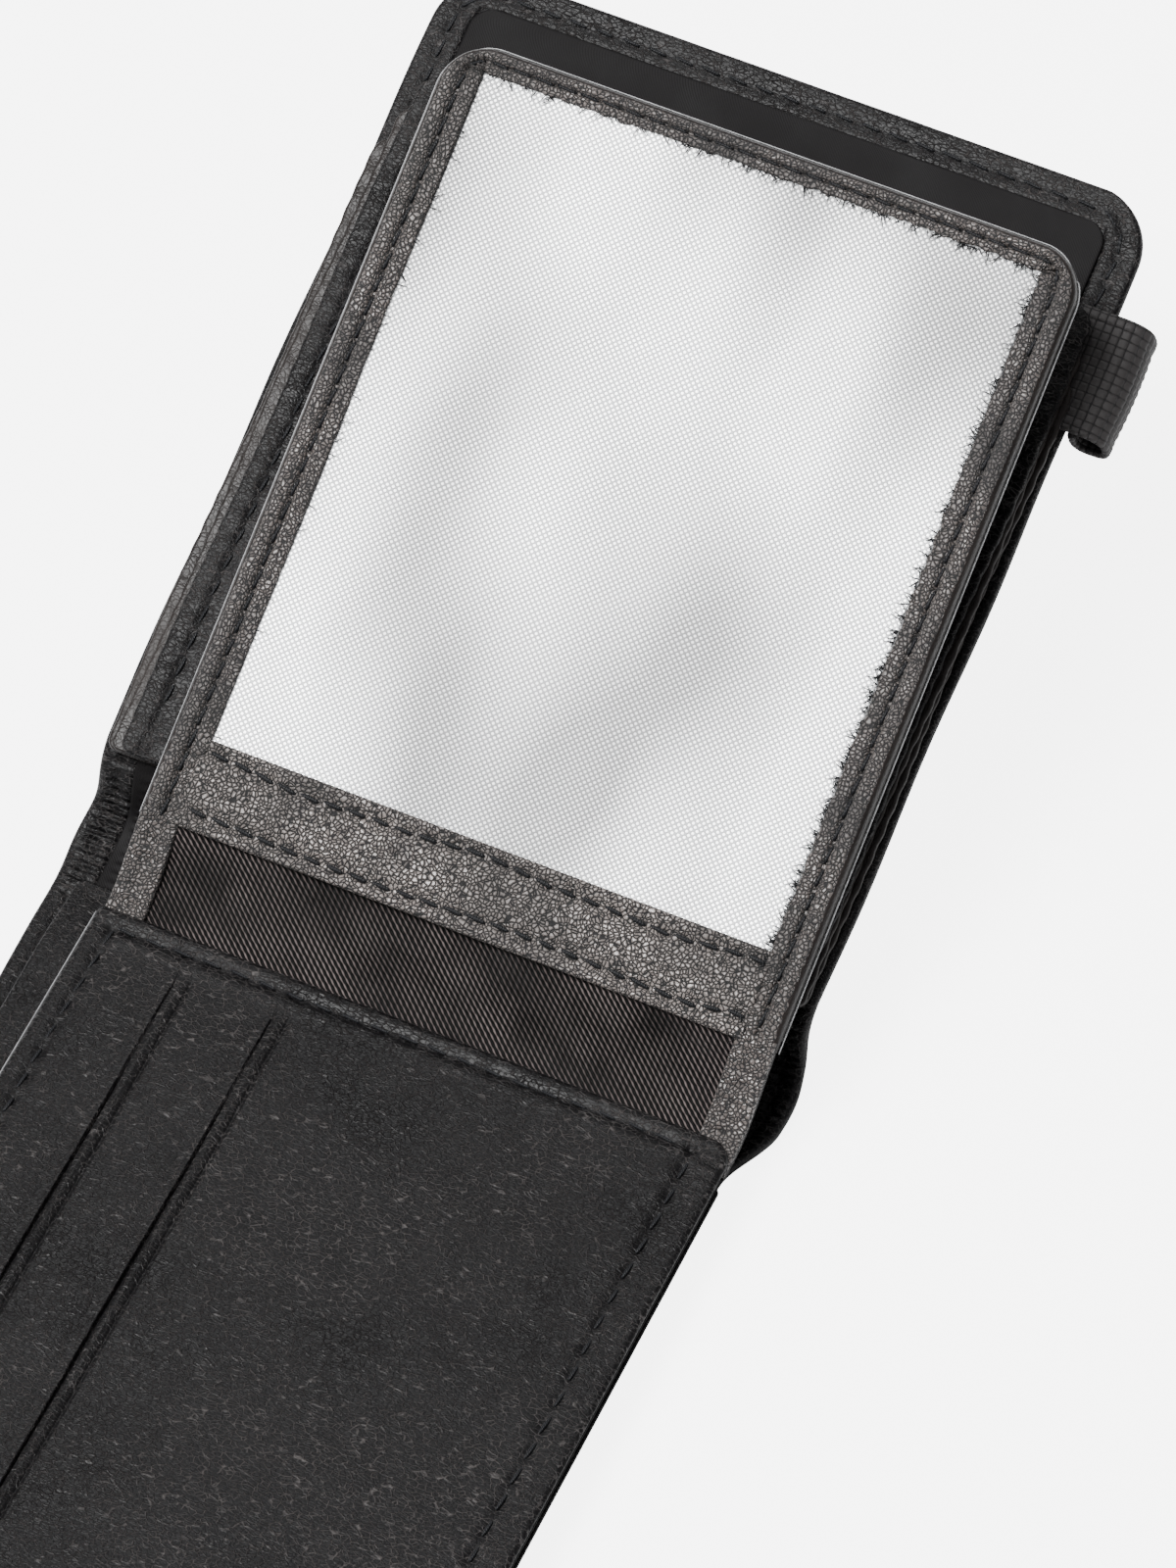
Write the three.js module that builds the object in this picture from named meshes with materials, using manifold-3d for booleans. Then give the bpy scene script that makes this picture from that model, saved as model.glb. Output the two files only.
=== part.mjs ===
// A bifold wallet with a hinged document leaf between its two panels: three leaves in all.
// Millimetres, +Z up. The left panel lies flat on the table, the spine curls up beside it, and
// the right panel and the document leaf stand half open, as a wallet that has just been opened.
// The origin is the middle of the left cover's underside.
import * as THREE from 'three';
import { mergeVertices } from 'three/addons/utils/BufferGeometryUtils.js';
import Module from 'manifold-3d';

const wasm = await Module();
wasm.setup();

// ---- Driving dimensions ----

// Outer cover: one hide panel on each side of the spine.
const COVER_WIDTH = 95;
const PANEL_LENGTH = 113;
const COVER_THICKNESS = 1.2;
const COVER_CORNER = 8;
const FOLD_RELIEF = 0.9;

// Height of everything sewn on each cover, outer face to inner face.
const LEFT_STACK = 8;
const RIGHT_STACK = 3.6;

// Resting angles above the table, in degrees, and the spine's angle when the wallet is closed.
const SPINE_ANGLE = 46.5;
const CLOSED_SPINE_ANGLE = 80;
const RIGHT_ANGLE = 19.7;
const LEAF_ANGLE = 27.1;

// Document leaf, its window and the strip below the window. The margins are to the cover's edges
// when the wallet is closed.
const LEAF_OPEN_MARGIN = 9.3;
const LEAF_CLOSED_MARGIN = 1.7;
const LEAF_END_MARGIN = 8.23;
const LEAF_ROOT = 3;
const LEAF_THICKNESS = 2.4;
const LEAF_CORNER = 6;
const LEAF_CLEARANCE = 0.5;
const LEAF_HINGE_SET = 2.5;
const LEAF_HINGE_DROP = 1.4;
const LEAF_FOLD_GAP = 0.9;
const FRAME_BAND = 5;
const FRAME_TOP_BAND = 3.1;
const FRAME_THICKNESS = 0.95;
const STRIP_DEPTH = 11;

// Card side on the left panel, with its margins to the cover's edges.
const CARD_OPEN_MARGIN = 8.75;
const CARD_CLOSED_MARGIN = 1.75;
const CARD_PANEL_SETBACK = 6.7;
const CARD_END_MARGIN = 4;
const CARD_PANEL_THICKNESS = 1.4;
const SLIT_WIDTH = 1;
const SLIT_INSETS = [13.1, 26.1];
const SLIT_END_MARGIN = 4.5;

// Pocket on the right panel.
const POCKET_START = 7;
const POCKET_END_MARGIN = 17.1;
const POCKET_THICKNESS = 0.7;

// Elastic pen loop on the right panel's edge.
const LOOP_END_MARGIN = 24;
const LOOP_WIDTH = 16;
const LOOP_REACH = 6.6;
const LOOP_HEIGHT = 8;
const LOOP_CORNER = 1.6;
const LOOP_THICKNESS = 0.8;
const LOOP_TONGUE = 4.5;

// Stitching lies in a shallow channel.
const CHANNEL_WIDTH = 1;
const CHANNEL_DEPTH = 0.55;
const THREAD_WIDTH = 0.4;
const THREAD_HEIGHT = 0.2;
const COVER_SEAM_INSET = 3;
const FOLD_SEAM_INSET = 2.5;
const CLOSED_SIDE_SEAM_INSET = 4.5;
const OPEN_SIDE_SEAM_INSET = 3;
const STRIP_SEAM_INSET = 1.7;

// Room between neighbouring pieces.
const GAP = 0.3;
// Thin lining cloth, lining leather and card.
const LINING = 0.4;
const THIN_LEATHER = 0.6;
const DIVIDER_THICKNESS = 0.8;
const LINING_INSET = 5;
const ARC_STEPS = 8;
const SPINE_STEPS = 24;

// ---- Sizes that follow from those ----

const HALF_WIDTH = COVER_WIDTH / 2;
const LEAF_WIDTH = COVER_WIDTH - LEAF_OPEN_MARGIN - LEAF_CLOSED_MARGIN;
const LEAF_SIDE_SHIFT = (LEAF_OPEN_MARGIN - LEAF_CLOSED_MARGIN) / 2;
const STACKED = LEFT_STACK + LEAF_THICKNESS + 2 * LEAF_CLEARANCE + RIGHT_STACK;
const closedSpineAngle = THREE.MathUtils.degToRad(CLOSED_SPINE_ANGLE);
const SPINE_CHORD = (STACKED - COVER_THICKNESS) / Math.sin(closedSpineAngle);
// The left panel is shorter by what the closed spine leans, so that the closed covers' edges meet.
const LEFT_PANEL_LENGTH = PANEL_LENGTH - SPINE_CHORD * Math.cos(closedSpineAngle);
const LEAF_END = LEFT_PANEL_LENGTH + LEAF_HINGE_SET - LEAF_END_MARGIN;
const CARD_FAR = LEFT_PANEL_LENGTH - CARD_END_MARGIN;
const POCKET_END = PANEL_LENGTH - POCKET_END_MARGIN;
const LOOP_CENTRE = PANEL_LENGTH - LOOP_END_MARGIN;
// The card panel's edges in the left panel's own group, where the closed side is towards -X.
const CARD_LEFT = CARD_CLOSED_MARGIN - HALF_WIDTH;
const CARD_RIGHT = HALF_WIDTH - CARD_OPEN_MARGIN;

// ---- Materials ----

const material = (color, roughness) => new THREE.MeshStandardMaterial({ color, roughness, metalness: 0 });
const smoothLeather = () => material(0x2b292a, 0.55);
const grainLeather = () => material(0x3a3536, 0.42);
const liningCloth = () => material(0x1c1a1b, 0.85);
const twillCloth = () => material(0x2a2626, 0.75);
const windowCloth = () => material(0xe6e7e8, 0.35);
const whiteCard = () => material(0xf1f1ef, 0.7);
const threadCotton = () => material(0x4a4d55, 0.6);
const elasticWeb = () => material(0x252324, 0.9);

// ---- Shapes ----

// A rectangle whose two far corners, away from the fold, are round.
function panelOutline({ left, right, near, far, corner = 0 }) {
  const shape = new THREE.Shape();
  shape.moveTo(left, near);
  shape.lineTo(right, near);
  if (corner === 0) {
    shape.lineTo(right, far);
    shape.lineTo(left, far);
  } else {
    shape.absarc(right - corner, far - corner, corner, 0, Math.PI / 2, false);
    shape.absarc(left + corner, far - corner, corner, Math.PI / 2, Math.PI, false);
  }
  shape.closePath();
  return shape;
}

// A band of constant width that runs up one side, across the far end and down the other side.
function archOutline({ left, right, near, far, corner, side, top = side }) {
  const inner = Math.max(corner - side, 0.2);
  const shape = new THREE.Shape();
  shape.moveTo(left, near);
  shape.lineTo(left + side, near);
  shape.absarc(left + side + inner, far - top - inner, inner, Math.PI, Math.PI / 2, true);
  shape.absarc(right - side - inner, far - top - inner, inner, Math.PI / 2, 0, true);
  shape.lineTo(right - side, near);
  shape.lineTo(right, near);
  shape.absarc(right - corner, far - corner, corner, 0, Math.PI / 2, false);
  shape.absarc(left + corner, far - corner, corner, Math.PI / 2, Math.PI, false);
  shape.closePath();
  return shape;
}

// A flat layer: the outline lies in XY and the layer rises from `base` by `thickness`.
function layer(outline, base, thickness) {
  const geometry = new THREE.ExtrudeGeometry(outline, {
    depth: thickness,
    bevelEnabled: false,
    curveSegments: ARC_STEPS,
  });
  return geometry.translate(0, 0, base);
}

function toSolid(geometry) {
  const bare = geometry.clone();
  bare.deleteAttribute('normal');
  bare.deleteAttribute('uv');
  const merged = mergeVertices(bare, 1e-5);
  return new wasm.Manifold(new wasm.Mesh({
    numProp: 3,
    vertProperties: new Float32Array(merged.attributes.position.array),
    triVerts: new Uint32Array(merged.index.array),
  }));
}

function toGeometry(solid) {
  const mesh = solid.getMesh();
  const geometry = new THREE.BufferGeometry();
  geometry.setAttribute('position', new THREE.BufferAttribute(new Float32Array(mesh.vertProperties), 3));
  geometry.setIndex(new THREE.BufferAttribute(new Uint32Array(mesh.triVerts), 1));
  geometry.computeVertexNormals();
  return geometry;
}

// The body with every tool cut out of it.
function cut(body, tools) {
  let solid = toSolid(body);
  for (const tool of tools) {
    solid = solid.subtract(toSolid(tool));
  }
  return toGeometry(solid);
}

function join(first, second) {
  return toGeometry(toSolid(first).add(toSolid(second)));
}

function addPiece(group, name, geometry, finish) {
  const mesh = new THREE.Mesh(geometry, finish);
  mesh.name = name;
  group.add(mesh);
}

// A stitch row: the channel to cut from a face at height `face`, and the thread lying in it.
function stitchRow(outlineOfWidth, face) {
  const threadBase = face - CHANNEL_DEPTH + GAP;
  return {
    channel: layer(outlineOfWidth(CHANNEL_WIDTH), face - CHANNEL_DEPTH, CHANNEL_DEPTH + GAP),
    thread: layer(outlineOfWidth(THREAD_WIDTH), threadBase, THREAD_HEIGHT),
  };
}

// A straight stitch row between two points that share an x or a y.
function straightRow(from, to, face) {
  const outlineOfWidth = (width) => {
    const extra = (width - THREAD_WIDTH) / 2;
    const half = width / 2;
    const alongX = from.y === to.y;
    return panelOutline({
      left: from.x - (alongX ? extra : half),
      right: to.x + (alongX ? extra : half),
      near: from.y - (alongX ? half : extra),
      far: to.y + (alongX ? half : extra),
    });
  };
  return stitchRow(outlineOfWidth, face);
}

// A stitch row that follows a panel's three free edges at a set distance inside them.
function archRow({ left, right, near, far, corner }, inset, face) {
  const outlineOfWidth = (width) => {
    const reach = inset - width / 2;
    const extra = (width - THREAD_WIDTH) / 2;
    return archOutline({
      left: left + reach,
      right: right - reach,
      near: near - extra,
      far: far - reach,
      corner: corner - reach,
      side: width,
    });
  };
  return stitchRow(outlineOfWidth, face);
}

// ---- The two covers: the same panel, one on each side of the spine ----

function addCover(group, side, length) {
  const coverEdges = {
    left: -HALF_WIDTH,
    right: HALF_WIDTH,
    near: FOLD_RELIEF,
    far: length,
    corner: COVER_CORNER,
  };
  const seamEdges = { ...coverEdges, near: coverEdges.near + COVER_SEAM_INSET };
  const row = archRow(seamEdges, COVER_SEAM_INSET, COVER_THICKNESS);
  const body = layer(panelOutline(coverEdges), 0, COVER_THICKNESS);
  const lining = panelOutline({
    left: coverEdges.left + LINING_INSET,
    right: coverEdges.right - LINING_INSET,
    near: coverEdges.near + LINING_INSET,
    far: coverEdges.far - LINING_INSET,
    corner: COVER_CORNER - LINING_INSET,
  });
  addPiece(group, `outer_cover_${side}`, cut(body, [row.channel]), smoothLeather());
  addPiece(group, `cover_seam_thread_${side}`, row.thread, threadCotton());
  addPiece(group, `cover_lining_${side}`, layer(lining, COVER_THICKNESS + GAP, LINING), liningCloth());
}

// ---- Left panel. In its group +Y runs away from the fold; the group is turned to lie towards -Y ----

function addCardPanel(group) {
  const left = CARD_LEFT;
  const right = CARD_RIGHT;
  const near = CARD_PANEL_SETBACK;
  const far = CARD_FAR;
  const base = LEFT_STACK - CARD_PANEL_THICKNESS;
  const rows = {
    card_panel_seam_thread_fold: straightRow(
      { x: left + CLOSED_SIDE_SEAM_INSET + CHANNEL_WIDTH, y: near + FOLD_SEAM_INSET },
      { x: right - OPEN_SIDE_SEAM_INSET - CHANNEL_WIDTH, y: near + FOLD_SEAM_INSET },
      LEFT_STACK,
    ),
    card_panel_seam_thread_closed_side: straightRow(
      { x: left + CLOSED_SIDE_SEAM_INSET, y: near + SLIT_END_MARGIN },
      { x: left + CLOSED_SIDE_SEAM_INSET, y: far - SLIT_END_MARGIN },
      LEFT_STACK,
    ),
    card_panel_seam_thread_open_side: straightRow(
      { x: right - OPEN_SIDE_SEAM_INSET, y: near + SLIT_END_MARGIN },
      { x: right - OPEN_SIDE_SEAM_INSET, y: far - SLIT_END_MARGIN },
      LEFT_STACK,
    ),
  };
  const slits = SLIT_INSETS.map((inset) => {
    const outline = panelOutline({
      left: right - inset - SLIT_WIDTH / 2,
      right: right - inset + SLIT_WIDTH / 2,
      near: near + SLIT_END_MARGIN,
      far: far - SLIT_END_MARGIN,
    });
    return layer(outline, base - GAP, CARD_PANEL_THICKNESS + 2 * GAP);
  });
  const body = layer(panelOutline({ left, right, near, far, corner: COVER_CORNER / 2 }), base, CARD_PANEL_THICKNESS);
  const channels = Object.values(rows).map((row) => row.channel);
  addPiece(group, 'card_panel', cut(body, [...slits, ...channels]), smoothLeather());
  for (const [name, row] of Object.entries(rows)) {
    addPiece(group, name, row.thread, threadCotton());
  }
}

// Behind each slit a lining makes the pocket; it reaches from the slit to the far side edge.
function addCardLinings(group) {
  const left = CARD_LEFT;
  const right = CARD_RIGHT;
  const top = LEFT_STACK - CARD_PANEL_THICKNESS - GAP;
  SLIT_INSETS.forEach((inset, index) => {
    const outline = panelOutline({
      left: left + GAP,
      right: right - inset + SLIT_WIDTH,
      near: CARD_PANEL_SETBACK + SLIT_END_MARGIN,
      far: CARD_FAR - SLIT_END_MARGIN,
    });
    const base = top - LINING - index * (LINING + GAP);
    addPiece(group, `card_pocket_lining_${index + 1}`, layer(outline, base, LINING), liningCloth());
  });
  const backing = panelOutline({
    left,
    right,
    near: CARD_PANEL_SETBACK + SLIT_END_MARGIN,
    far: CARD_FAR,
  });
  const backingBase = top - SLIT_INSETS.length * (LINING + GAP) - THIN_LEATHER;
  addPiece(group, 'card_panel_backing', layer(backing, backingBase, THIN_LEATHER), smoothLeather());
  const dividerBase = (backingBase + COVER_THICKNESS + GAP + LINING - DIVIDER_THICKNESS) / 2;
  const divider = panelOutline({
    left: -HALF_WIDTH + FOLD_RELIEF * 2,
    right: HALF_WIDTH - COVER_SEAM_INSET,
    near: FOLD_RELIEF + GAP,
    far: LEFT_PANEL_LENGTH - COVER_SEAM_INSET,
    corner: COVER_CORNER / 2,
  });
  addPiece(group, 'note_divider', layer(divider, dividerBase, DIVIDER_THICKNESS), smoothLeather());
}

// The tongue of leaf lining that is sewn in under the card panel's fold edge.
function addLeafAnchor(group) {
  const halfWidth = LEAF_WIDTH / 2 - GAP;
  const top = LEFT_STACK - CARD_PANEL_THICKNESS - GAP;
  const outline = panelOutline({
    left: -LEAF_SIDE_SHIFT - halfWidth,
    right: -LEAF_SIDE_SHIFT + halfWidth,
    near: CARD_PANEL_SETBACK / 2,
    far: CARD_PANEL_SETBACK + SLIT_END_MARGIN - GAP,
  });
  addPiece(group, 'leaf_anchor_tongue', layer(outline, top - THIN_LEATHER, THIN_LEATHER), twillCloth());
}

// ---- Spine: two curved layers between the fold lines ----

const spineAngle = THREE.MathUtils.degToRad(SPINE_ANGLE);
const SPINE_RADIUS = SPINE_CHORD / (2 * Math.sin(spineAngle));

// A curved strip around the spine's centre line, flat on the table at its start.
function spineStrip(innerRadius, thickness, halfWidth) {
  const relief = FOLD_RELIEF / SPINE_RADIUS;
  const start = -Math.PI / 2 + relief;
  const end = -Math.PI / 2 + 2 * spineAngle - relief;
  const section = new THREE.Shape();
  section.absarc(0, 0, innerRadius + thickness, start, end, false);
  section.absarc(0, 0, innerRadius, end, start, true);
  section.closePath();
  const strip = new THREE.ExtrudeGeometry(section, {
    depth: 2 * halfWidth,
    bevelEnabled: false,
    curveSegments: SPINE_STEPS,
  });
  strip.translate(0, 0, -halfWidth);
  // The section's X becomes +Y, its Y becomes +Z and the extrusion runs along X.
  const turn = new THREE.Matrix4().makeBasis(
    new THREE.Vector3(0, 1, 0), new THREE.Vector3(0, 0, 1), new THREE.Vector3(1, 0, 0));
  return strip.applyMatrix4(turn);
}

function addSpine(group) {
  const coverInner = SPINE_RADIUS - COVER_THICKNESS / 2;
  addPiece(group, 'spine_cover', spineStrip(coverInner, COVER_THICKNESS, HALF_WIDTH), smoothLeather());
  const lining = spineStrip(coverInner - GAP - LINING, LINING, HALF_WIDTH - LINING_INSET);
  addPiece(group, 'spine_lining', lining, liningCloth());
  group.position.set(0, 0, COVER_THICKNESS / 2 + SPINE_RADIUS);
}

// ---- Right panel: +Y runs from the second fold line to the free edge ----

// The loop's section: a rounded ring of webbing beside the cover's edge, and its sewn-in tongue.
function penLoop() {
  const left = HALF_WIDTH + GAP;
  const top = COVER_THICKNESS + GAP + LOOP_THICKNESS;
  const ring = (inset) => {
    const path = new THREE.Shape();
    const radius = LOOP_CORNER - inset;
    const low = top - LOOP_HEIGHT + inset;
    const right = left + LOOP_REACH - inset;
    path.absarc(right - radius, low + radius, radius, -Math.PI / 2, 0, false);
    path.absarc(right - radius, top - inset - radius, radius, 0, Math.PI / 2, false);
    path.absarc(left + inset + radius, top - inset - radius, radius, Math.PI / 2, Math.PI, false);
    path.absarc(left + inset + radius, low + radius, radius, Math.PI, 1.5 * Math.PI, false);
    path.closePath();
    return path;
  };
  const section = ring(0);
  section.holes.push(ring(LOOP_THICKNESS));
  const band = new THREE.ExtrudeGeometry(section, {
    depth: LOOP_WIDTH,
    bevelEnabled: false,
    curveSegments: ARC_STEPS,
  });
  const tongue = new THREE.BoxGeometry(LOOP_TONGUE + LOOP_CORNER, LOOP_THICKNESS, LOOP_WIDTH);
  tongue.translate(left + (LOOP_CORNER - LOOP_TONGUE) / 2, top - LOOP_THICKNESS / 2, LOOP_WIDTH / 2);
  // The section's Y becomes the panel's height and the extrusion runs back along the panel.
  const turn = new THREE.Matrix4().makeRotationX(Math.PI / 2);
  return join(band, tongue).applyMatrix4(turn).translate(0, LOOP_CENTRE + LOOP_WIDTH / 2, 0);
}

function addRightPocket(group) {
  const top = RIGHT_STACK - POCKET_THICKNESS;
  const sideInset = FOLD_RELIEF;
  const panel = panelOutline({
    left: -HALF_WIDTH + sideInset,
    right: HALF_WIDTH - sideInset,
    near: POCKET_START,
    far: POCKET_END,
  });
  addPiece(group, 'right_pocket_panel', layer(panel, top, POCKET_THICKNESS), smoothLeather());
  const layerPitch = top - COVER_THICKNESS - GAP - LINING - 2 * GAP;
  for (const index of [1, 2]) {
    const outline = panelOutline({
      left: -HALF_WIDTH + sideInset,
      right: HALF_WIDTH - LOOP_TONGUE - GAP,
      near: POCKET_START,
      far: POCKET_END - index * SLIT_END_MARGIN,
    });
    const thickness = (layerPitch - GAP) / 2;
    const base = top - index * (thickness + GAP);
    addPiece(group, `right_slot_layer_${index}`, layer(outline, base, thickness), smoothLeather());
  }
  addPiece(group, 'pen_loop', penLoop(), elasticWeb());
}

// ---- Document leaf: +Y runs from the hinge line to its free end, Z from its middle ----

const LEAF_LEFT = -LEAF_WIDTH / 2;
const LEAF_RIGHT = LEAF_WIDTH / 2;
const LEAF_FACE = LEAF_THICKNESS / 2;
const FRAME_BASE = LEAF_FACE - FRAME_THICKNESS;
const WINDOW_LOW = LEAF_ROOT + STRIP_DEPTH + GAP;

function addLeafFrame(group) {
  const edges = { left: LEAF_LEFT, right: LEAF_RIGHT, near: LEAF_ROOT, far: LEAF_END, corner: LEAF_CORNER };
  const back = panelOutline(edges);
  addPiece(group, 'leaf_back_panel', layer(back, -LEAF_FACE, THIN_LEATHER), smoothLeather());
  const band = archOutline({ ...edges, side: FRAME_BAND, top: FRAME_TOP_BAND });
  const seamEdges = { ...edges, near: edges.near + THREAD_WIDTH };
  const row = archRow(seamEdges, FRAME_TOP_BAND / 2, LEAF_FACE);
  addPiece(group, 'leaf_frame', cut(layer(band, FRAME_BASE, FRAME_THICKNESS), [row.channel]), grainLeather());
  addPiece(group, 'leaf_frame_seam_thread', row.thread, threadCotton());
}

function addLeafStrip(group) {
  const left = LEAF_LEFT + FRAME_BAND + GAP;
  const right = LEAF_RIGHT - FRAME_BAND - GAP;
  const far = LEAF_ROOT + STRIP_DEPTH;
  const rowAt = (y) => straightRow({ x: left + THREAD_WIDTH, y }, { x: right - THREAD_WIDTH, y }, LEAF_FACE);
  const lower = rowAt(LEAF_ROOT + STRIP_SEAM_INSET);
  const upper = rowAt(far - STRIP_SEAM_INSET);
  const body = layer(panelOutline({ left, right, near: LEAF_ROOT, far }), FRAME_BASE, FRAME_THICKNESS);
  addPiece(group, 'window_strip', cut(body, [lower.channel, upper.channel]), grainLeather());
  addPiece(group, 'strip_seam_thread_lower', lower.thread, threadCotton());
  addPiece(group, 'strip_seam_thread_upper', upper.thread, threadCotton());
}

function addLeafWindow(group) {
  const left = LEAF_LEFT + FRAME_BAND + GAP;
  const right = LEAF_RIGHT - FRAME_BAND - GAP;
  const far = LEAF_END - FRAME_TOP_BAND - GAP;
  const sheetThickness = 0.25;
  const mesh = panelOutline({ left, right, near: WINDOW_LOW, far, corner: LEAF_CORNER - FRAME_BAND + GAP });
  addPiece(group, 'window_mesh', layer(mesh, FRAME_BASE, sheetThickness), windowCloth());
  const insertBase = FRAME_BASE - GAP - sheetThickness;
  const insert = panelOutline({ left, right, near: WINDOW_LOW, far });
  addPiece(group, 'window_insert', layer(insert, insertBase, sheetThickness), whiteCard());
  const lining = panelOutline({ left, right, near: LEAF_ROOT, far: WINDOW_LOW - GAP });
  addPiece(group, 'leaf_pocket_lining', layer(lining, insertBase, sheetThickness), twillCloth());
}

// The folded strip on which the leaf turns, between the hinge line and the leaf's root.
function addLeafFold(group) {
  const halfWidth = LEAF_WIDTH / 2 - GAP;
  const outline = panelOutline({
    left: -halfWidth,
    right: halfWidth,
    near: LEAF_ROOT / 2 - LEAF_FOLD_GAP,
    far: LEAF_ROOT - LEAF_FOLD_GAP,
  });
  addPiece(group, 'leaf_fold_strip', layer(outline, -THIN_LEATHER / 2, THIN_LEATHER), twillCloth());
}

// ---- Assembly ----

const leftPanel = new THREE.Group();
addCover(leftPanel, 'left', LEFT_PANEL_LENGTH);
addCardPanel(leftPanel);
addCardLinings(leftPanel);
addLeafAnchor(leftPanel);
// Half a turn about Z: the panel's +Y then runs away from the fold and its faces stay up.
leftPanel.rotation.z = Math.PI;

const spine = new THREE.Group();
addSpine(spine);

const rightPanel = new THREE.Group();
const rightStack = new THREE.Group();
addCover(rightStack, 'right', PANEL_LENGTH);
addRightPocket(rightStack);
// The fold line is at mid-thickness of the cover.
rightStack.position.z = -COVER_THICKNESS / 2;
rightPanel.add(rightStack);
rightPanel.position.set(
  0,
  SPINE_CHORD * Math.cos(spineAngle),
  COVER_THICKNESS / 2 + SPINE_CHORD * Math.sin(spineAngle),
);
rightPanel.rotation.x = THREE.MathUtils.degToRad(RIGHT_ANGLE);

const leafHinge = new THREE.Group();
const leaf = new THREE.Group();
addLeafFrame(leaf);
addLeafStrip(leaf);
addLeafWindow(leaf);
addLeafFold(leaf);
leaf.position.z = LEAF_HINGE_DROP;
leafHinge.add(leaf);
leafHinge.position.set(
  LEAF_SIDE_SHIFT,
  LEAF_HINGE_SET,
  LEFT_STACK + LEAF_CLEARANCE + LEAF_THICKNESS / 2 + LEAF_HINGE_DROP,
);
leafHinge.rotation.x = THREE.MathUtils.degToRad(LEAF_ANGLE);

const wallet = new THREE.Group();
wallet.add(leftPanel, spine, rightPanel, leafHinge);
// The middle of the left cover's underside becomes the origin.
wallet.position.y = (LEFT_PANEL_LENGTH + FOLD_RELIEF) / 2;

export default wallet;
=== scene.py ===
import math
import bpy
import numpy as np
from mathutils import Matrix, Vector


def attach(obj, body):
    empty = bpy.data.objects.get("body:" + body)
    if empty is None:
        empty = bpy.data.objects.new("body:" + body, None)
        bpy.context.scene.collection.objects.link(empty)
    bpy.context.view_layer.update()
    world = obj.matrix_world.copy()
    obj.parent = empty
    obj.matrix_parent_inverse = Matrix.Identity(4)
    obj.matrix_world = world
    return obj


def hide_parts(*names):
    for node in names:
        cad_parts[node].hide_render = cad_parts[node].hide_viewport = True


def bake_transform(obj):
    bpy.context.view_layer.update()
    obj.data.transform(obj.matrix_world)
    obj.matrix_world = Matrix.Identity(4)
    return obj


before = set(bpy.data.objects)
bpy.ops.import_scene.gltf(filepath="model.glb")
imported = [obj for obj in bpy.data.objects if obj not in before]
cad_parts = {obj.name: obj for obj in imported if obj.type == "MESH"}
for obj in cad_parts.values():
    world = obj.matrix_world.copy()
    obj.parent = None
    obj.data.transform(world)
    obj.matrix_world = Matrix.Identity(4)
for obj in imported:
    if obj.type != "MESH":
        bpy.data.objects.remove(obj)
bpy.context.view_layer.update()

# All lengths below are in millimetres; put_mesh turns them into metres.
MM = 0.001
HALF_COVER = 47.5
LEFT_END = -54.84
SECOND_FOLD = (65.379, 10.765)
RIGHT_SLOPE = math.radians(19.7)
RIGHT_END = 113.0
LEAF_HINGE = (58.233, 11.1)
LEAF_SLOPE = math.radians(27.1)
LEAF_LEFT = -38.2
LEAF_RIGHT = 45.8
LEAF_END = 104.84
STITCH_PITCH = 3.6
FRAME_PITCH = 3.0
STRIP_PITCH = 3.1
COVER_CORNER = 8.0
COVER_ROW = 2.8
LINING_HALF = 42.6
# The card panel's outline in X and its three rows of stitches.
CARD_SIDES = (-38.75, 45.75)
CARD_FOLD_EDGE = 49.03
CARD_FOLD_ROW = 46.53
CARD_CLOSED_ROW = 41.25
CARD_OPEN_ROW = -35.75
SLITS = (-25.65, -12.65)
# The part of the frame's band at which its seam runs.
FRAME_SEAM = 0.535
STRIP_ROWS = (4.35, 11.5)
LOOP_SPAN = (81.0, 97.0)
# The least thickness at a sheet's first and last row, so that its two faces never meet there.
THINNEST = 0.06


# ---- Small formulas ----

def smooth_step(low, high, value):
    """0 below low, 1 above high, and the cubic 3t^2 - 2t^3 between."""
    t = np.clip((value - low) / (high - low), 0.0, 1.0)
    return t * t * (3.0 - 2.0 * t)


def hump(value, centre, width):
    """A bell: e to the minus of the squared distance from centre, in widths."""
    return np.exp(-(((value - centre) / width) ** 2))


def unevenness(x, s, pitch, seed):
    """Nine plane waves of about one pitch, in seeded directions and phases, scaled to about -1 to 1."""
    rng = np.random.default_rng(seed)
    angle = rng.uniform(0.0, 2.0 * np.pi, 9)
    phase = rng.uniform(0.0, 2.0 * np.pi, 9)
    turns = 2.0 * np.pi / (pitch * rng.uniform(0.7, 1.5, 9))
    x = np.asarray(x, float)[..., None]
    s = np.asarray(s, float)[..., None]
    waves = np.cos(turns * (x * np.cos(angle) + s * np.sin(angle)) + phase)
    return waves.sum(-1) / 4.5


def uneven(size, pitch, seed):
    """A relief that is only a soft unevenness of this size."""
    def relief(x, s, to_edge):
        return size * unevenness(x, s, pitch, seed)
    return relief


def run_along(a, b):
    """Distance along a line of points with these two coordinates, from its first point."""
    return np.concatenate([[0.0], np.cumsum(np.hypot(np.diff(a), np.diff(b)))])


def round_edge(to_edge, radius):
    """The quarter round of a rolled edge: 0 at the edge and 1 from the radius inwards."""
    return np.sqrt(1.0 - (1.0 - np.clip(to_edge / radius, 0.0, 1.0)) ** 2)


def pucker(off_row, along, pitch, depth):
    """A stitch row's groove: a bell across the row, deeper where each stitch goes down."""
    pull = 0.65 + 0.35 * np.cos(2.0 * np.pi * along / pitch)
    return -depth * hump(off_row, 0.0, 0.75) * pull


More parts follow.
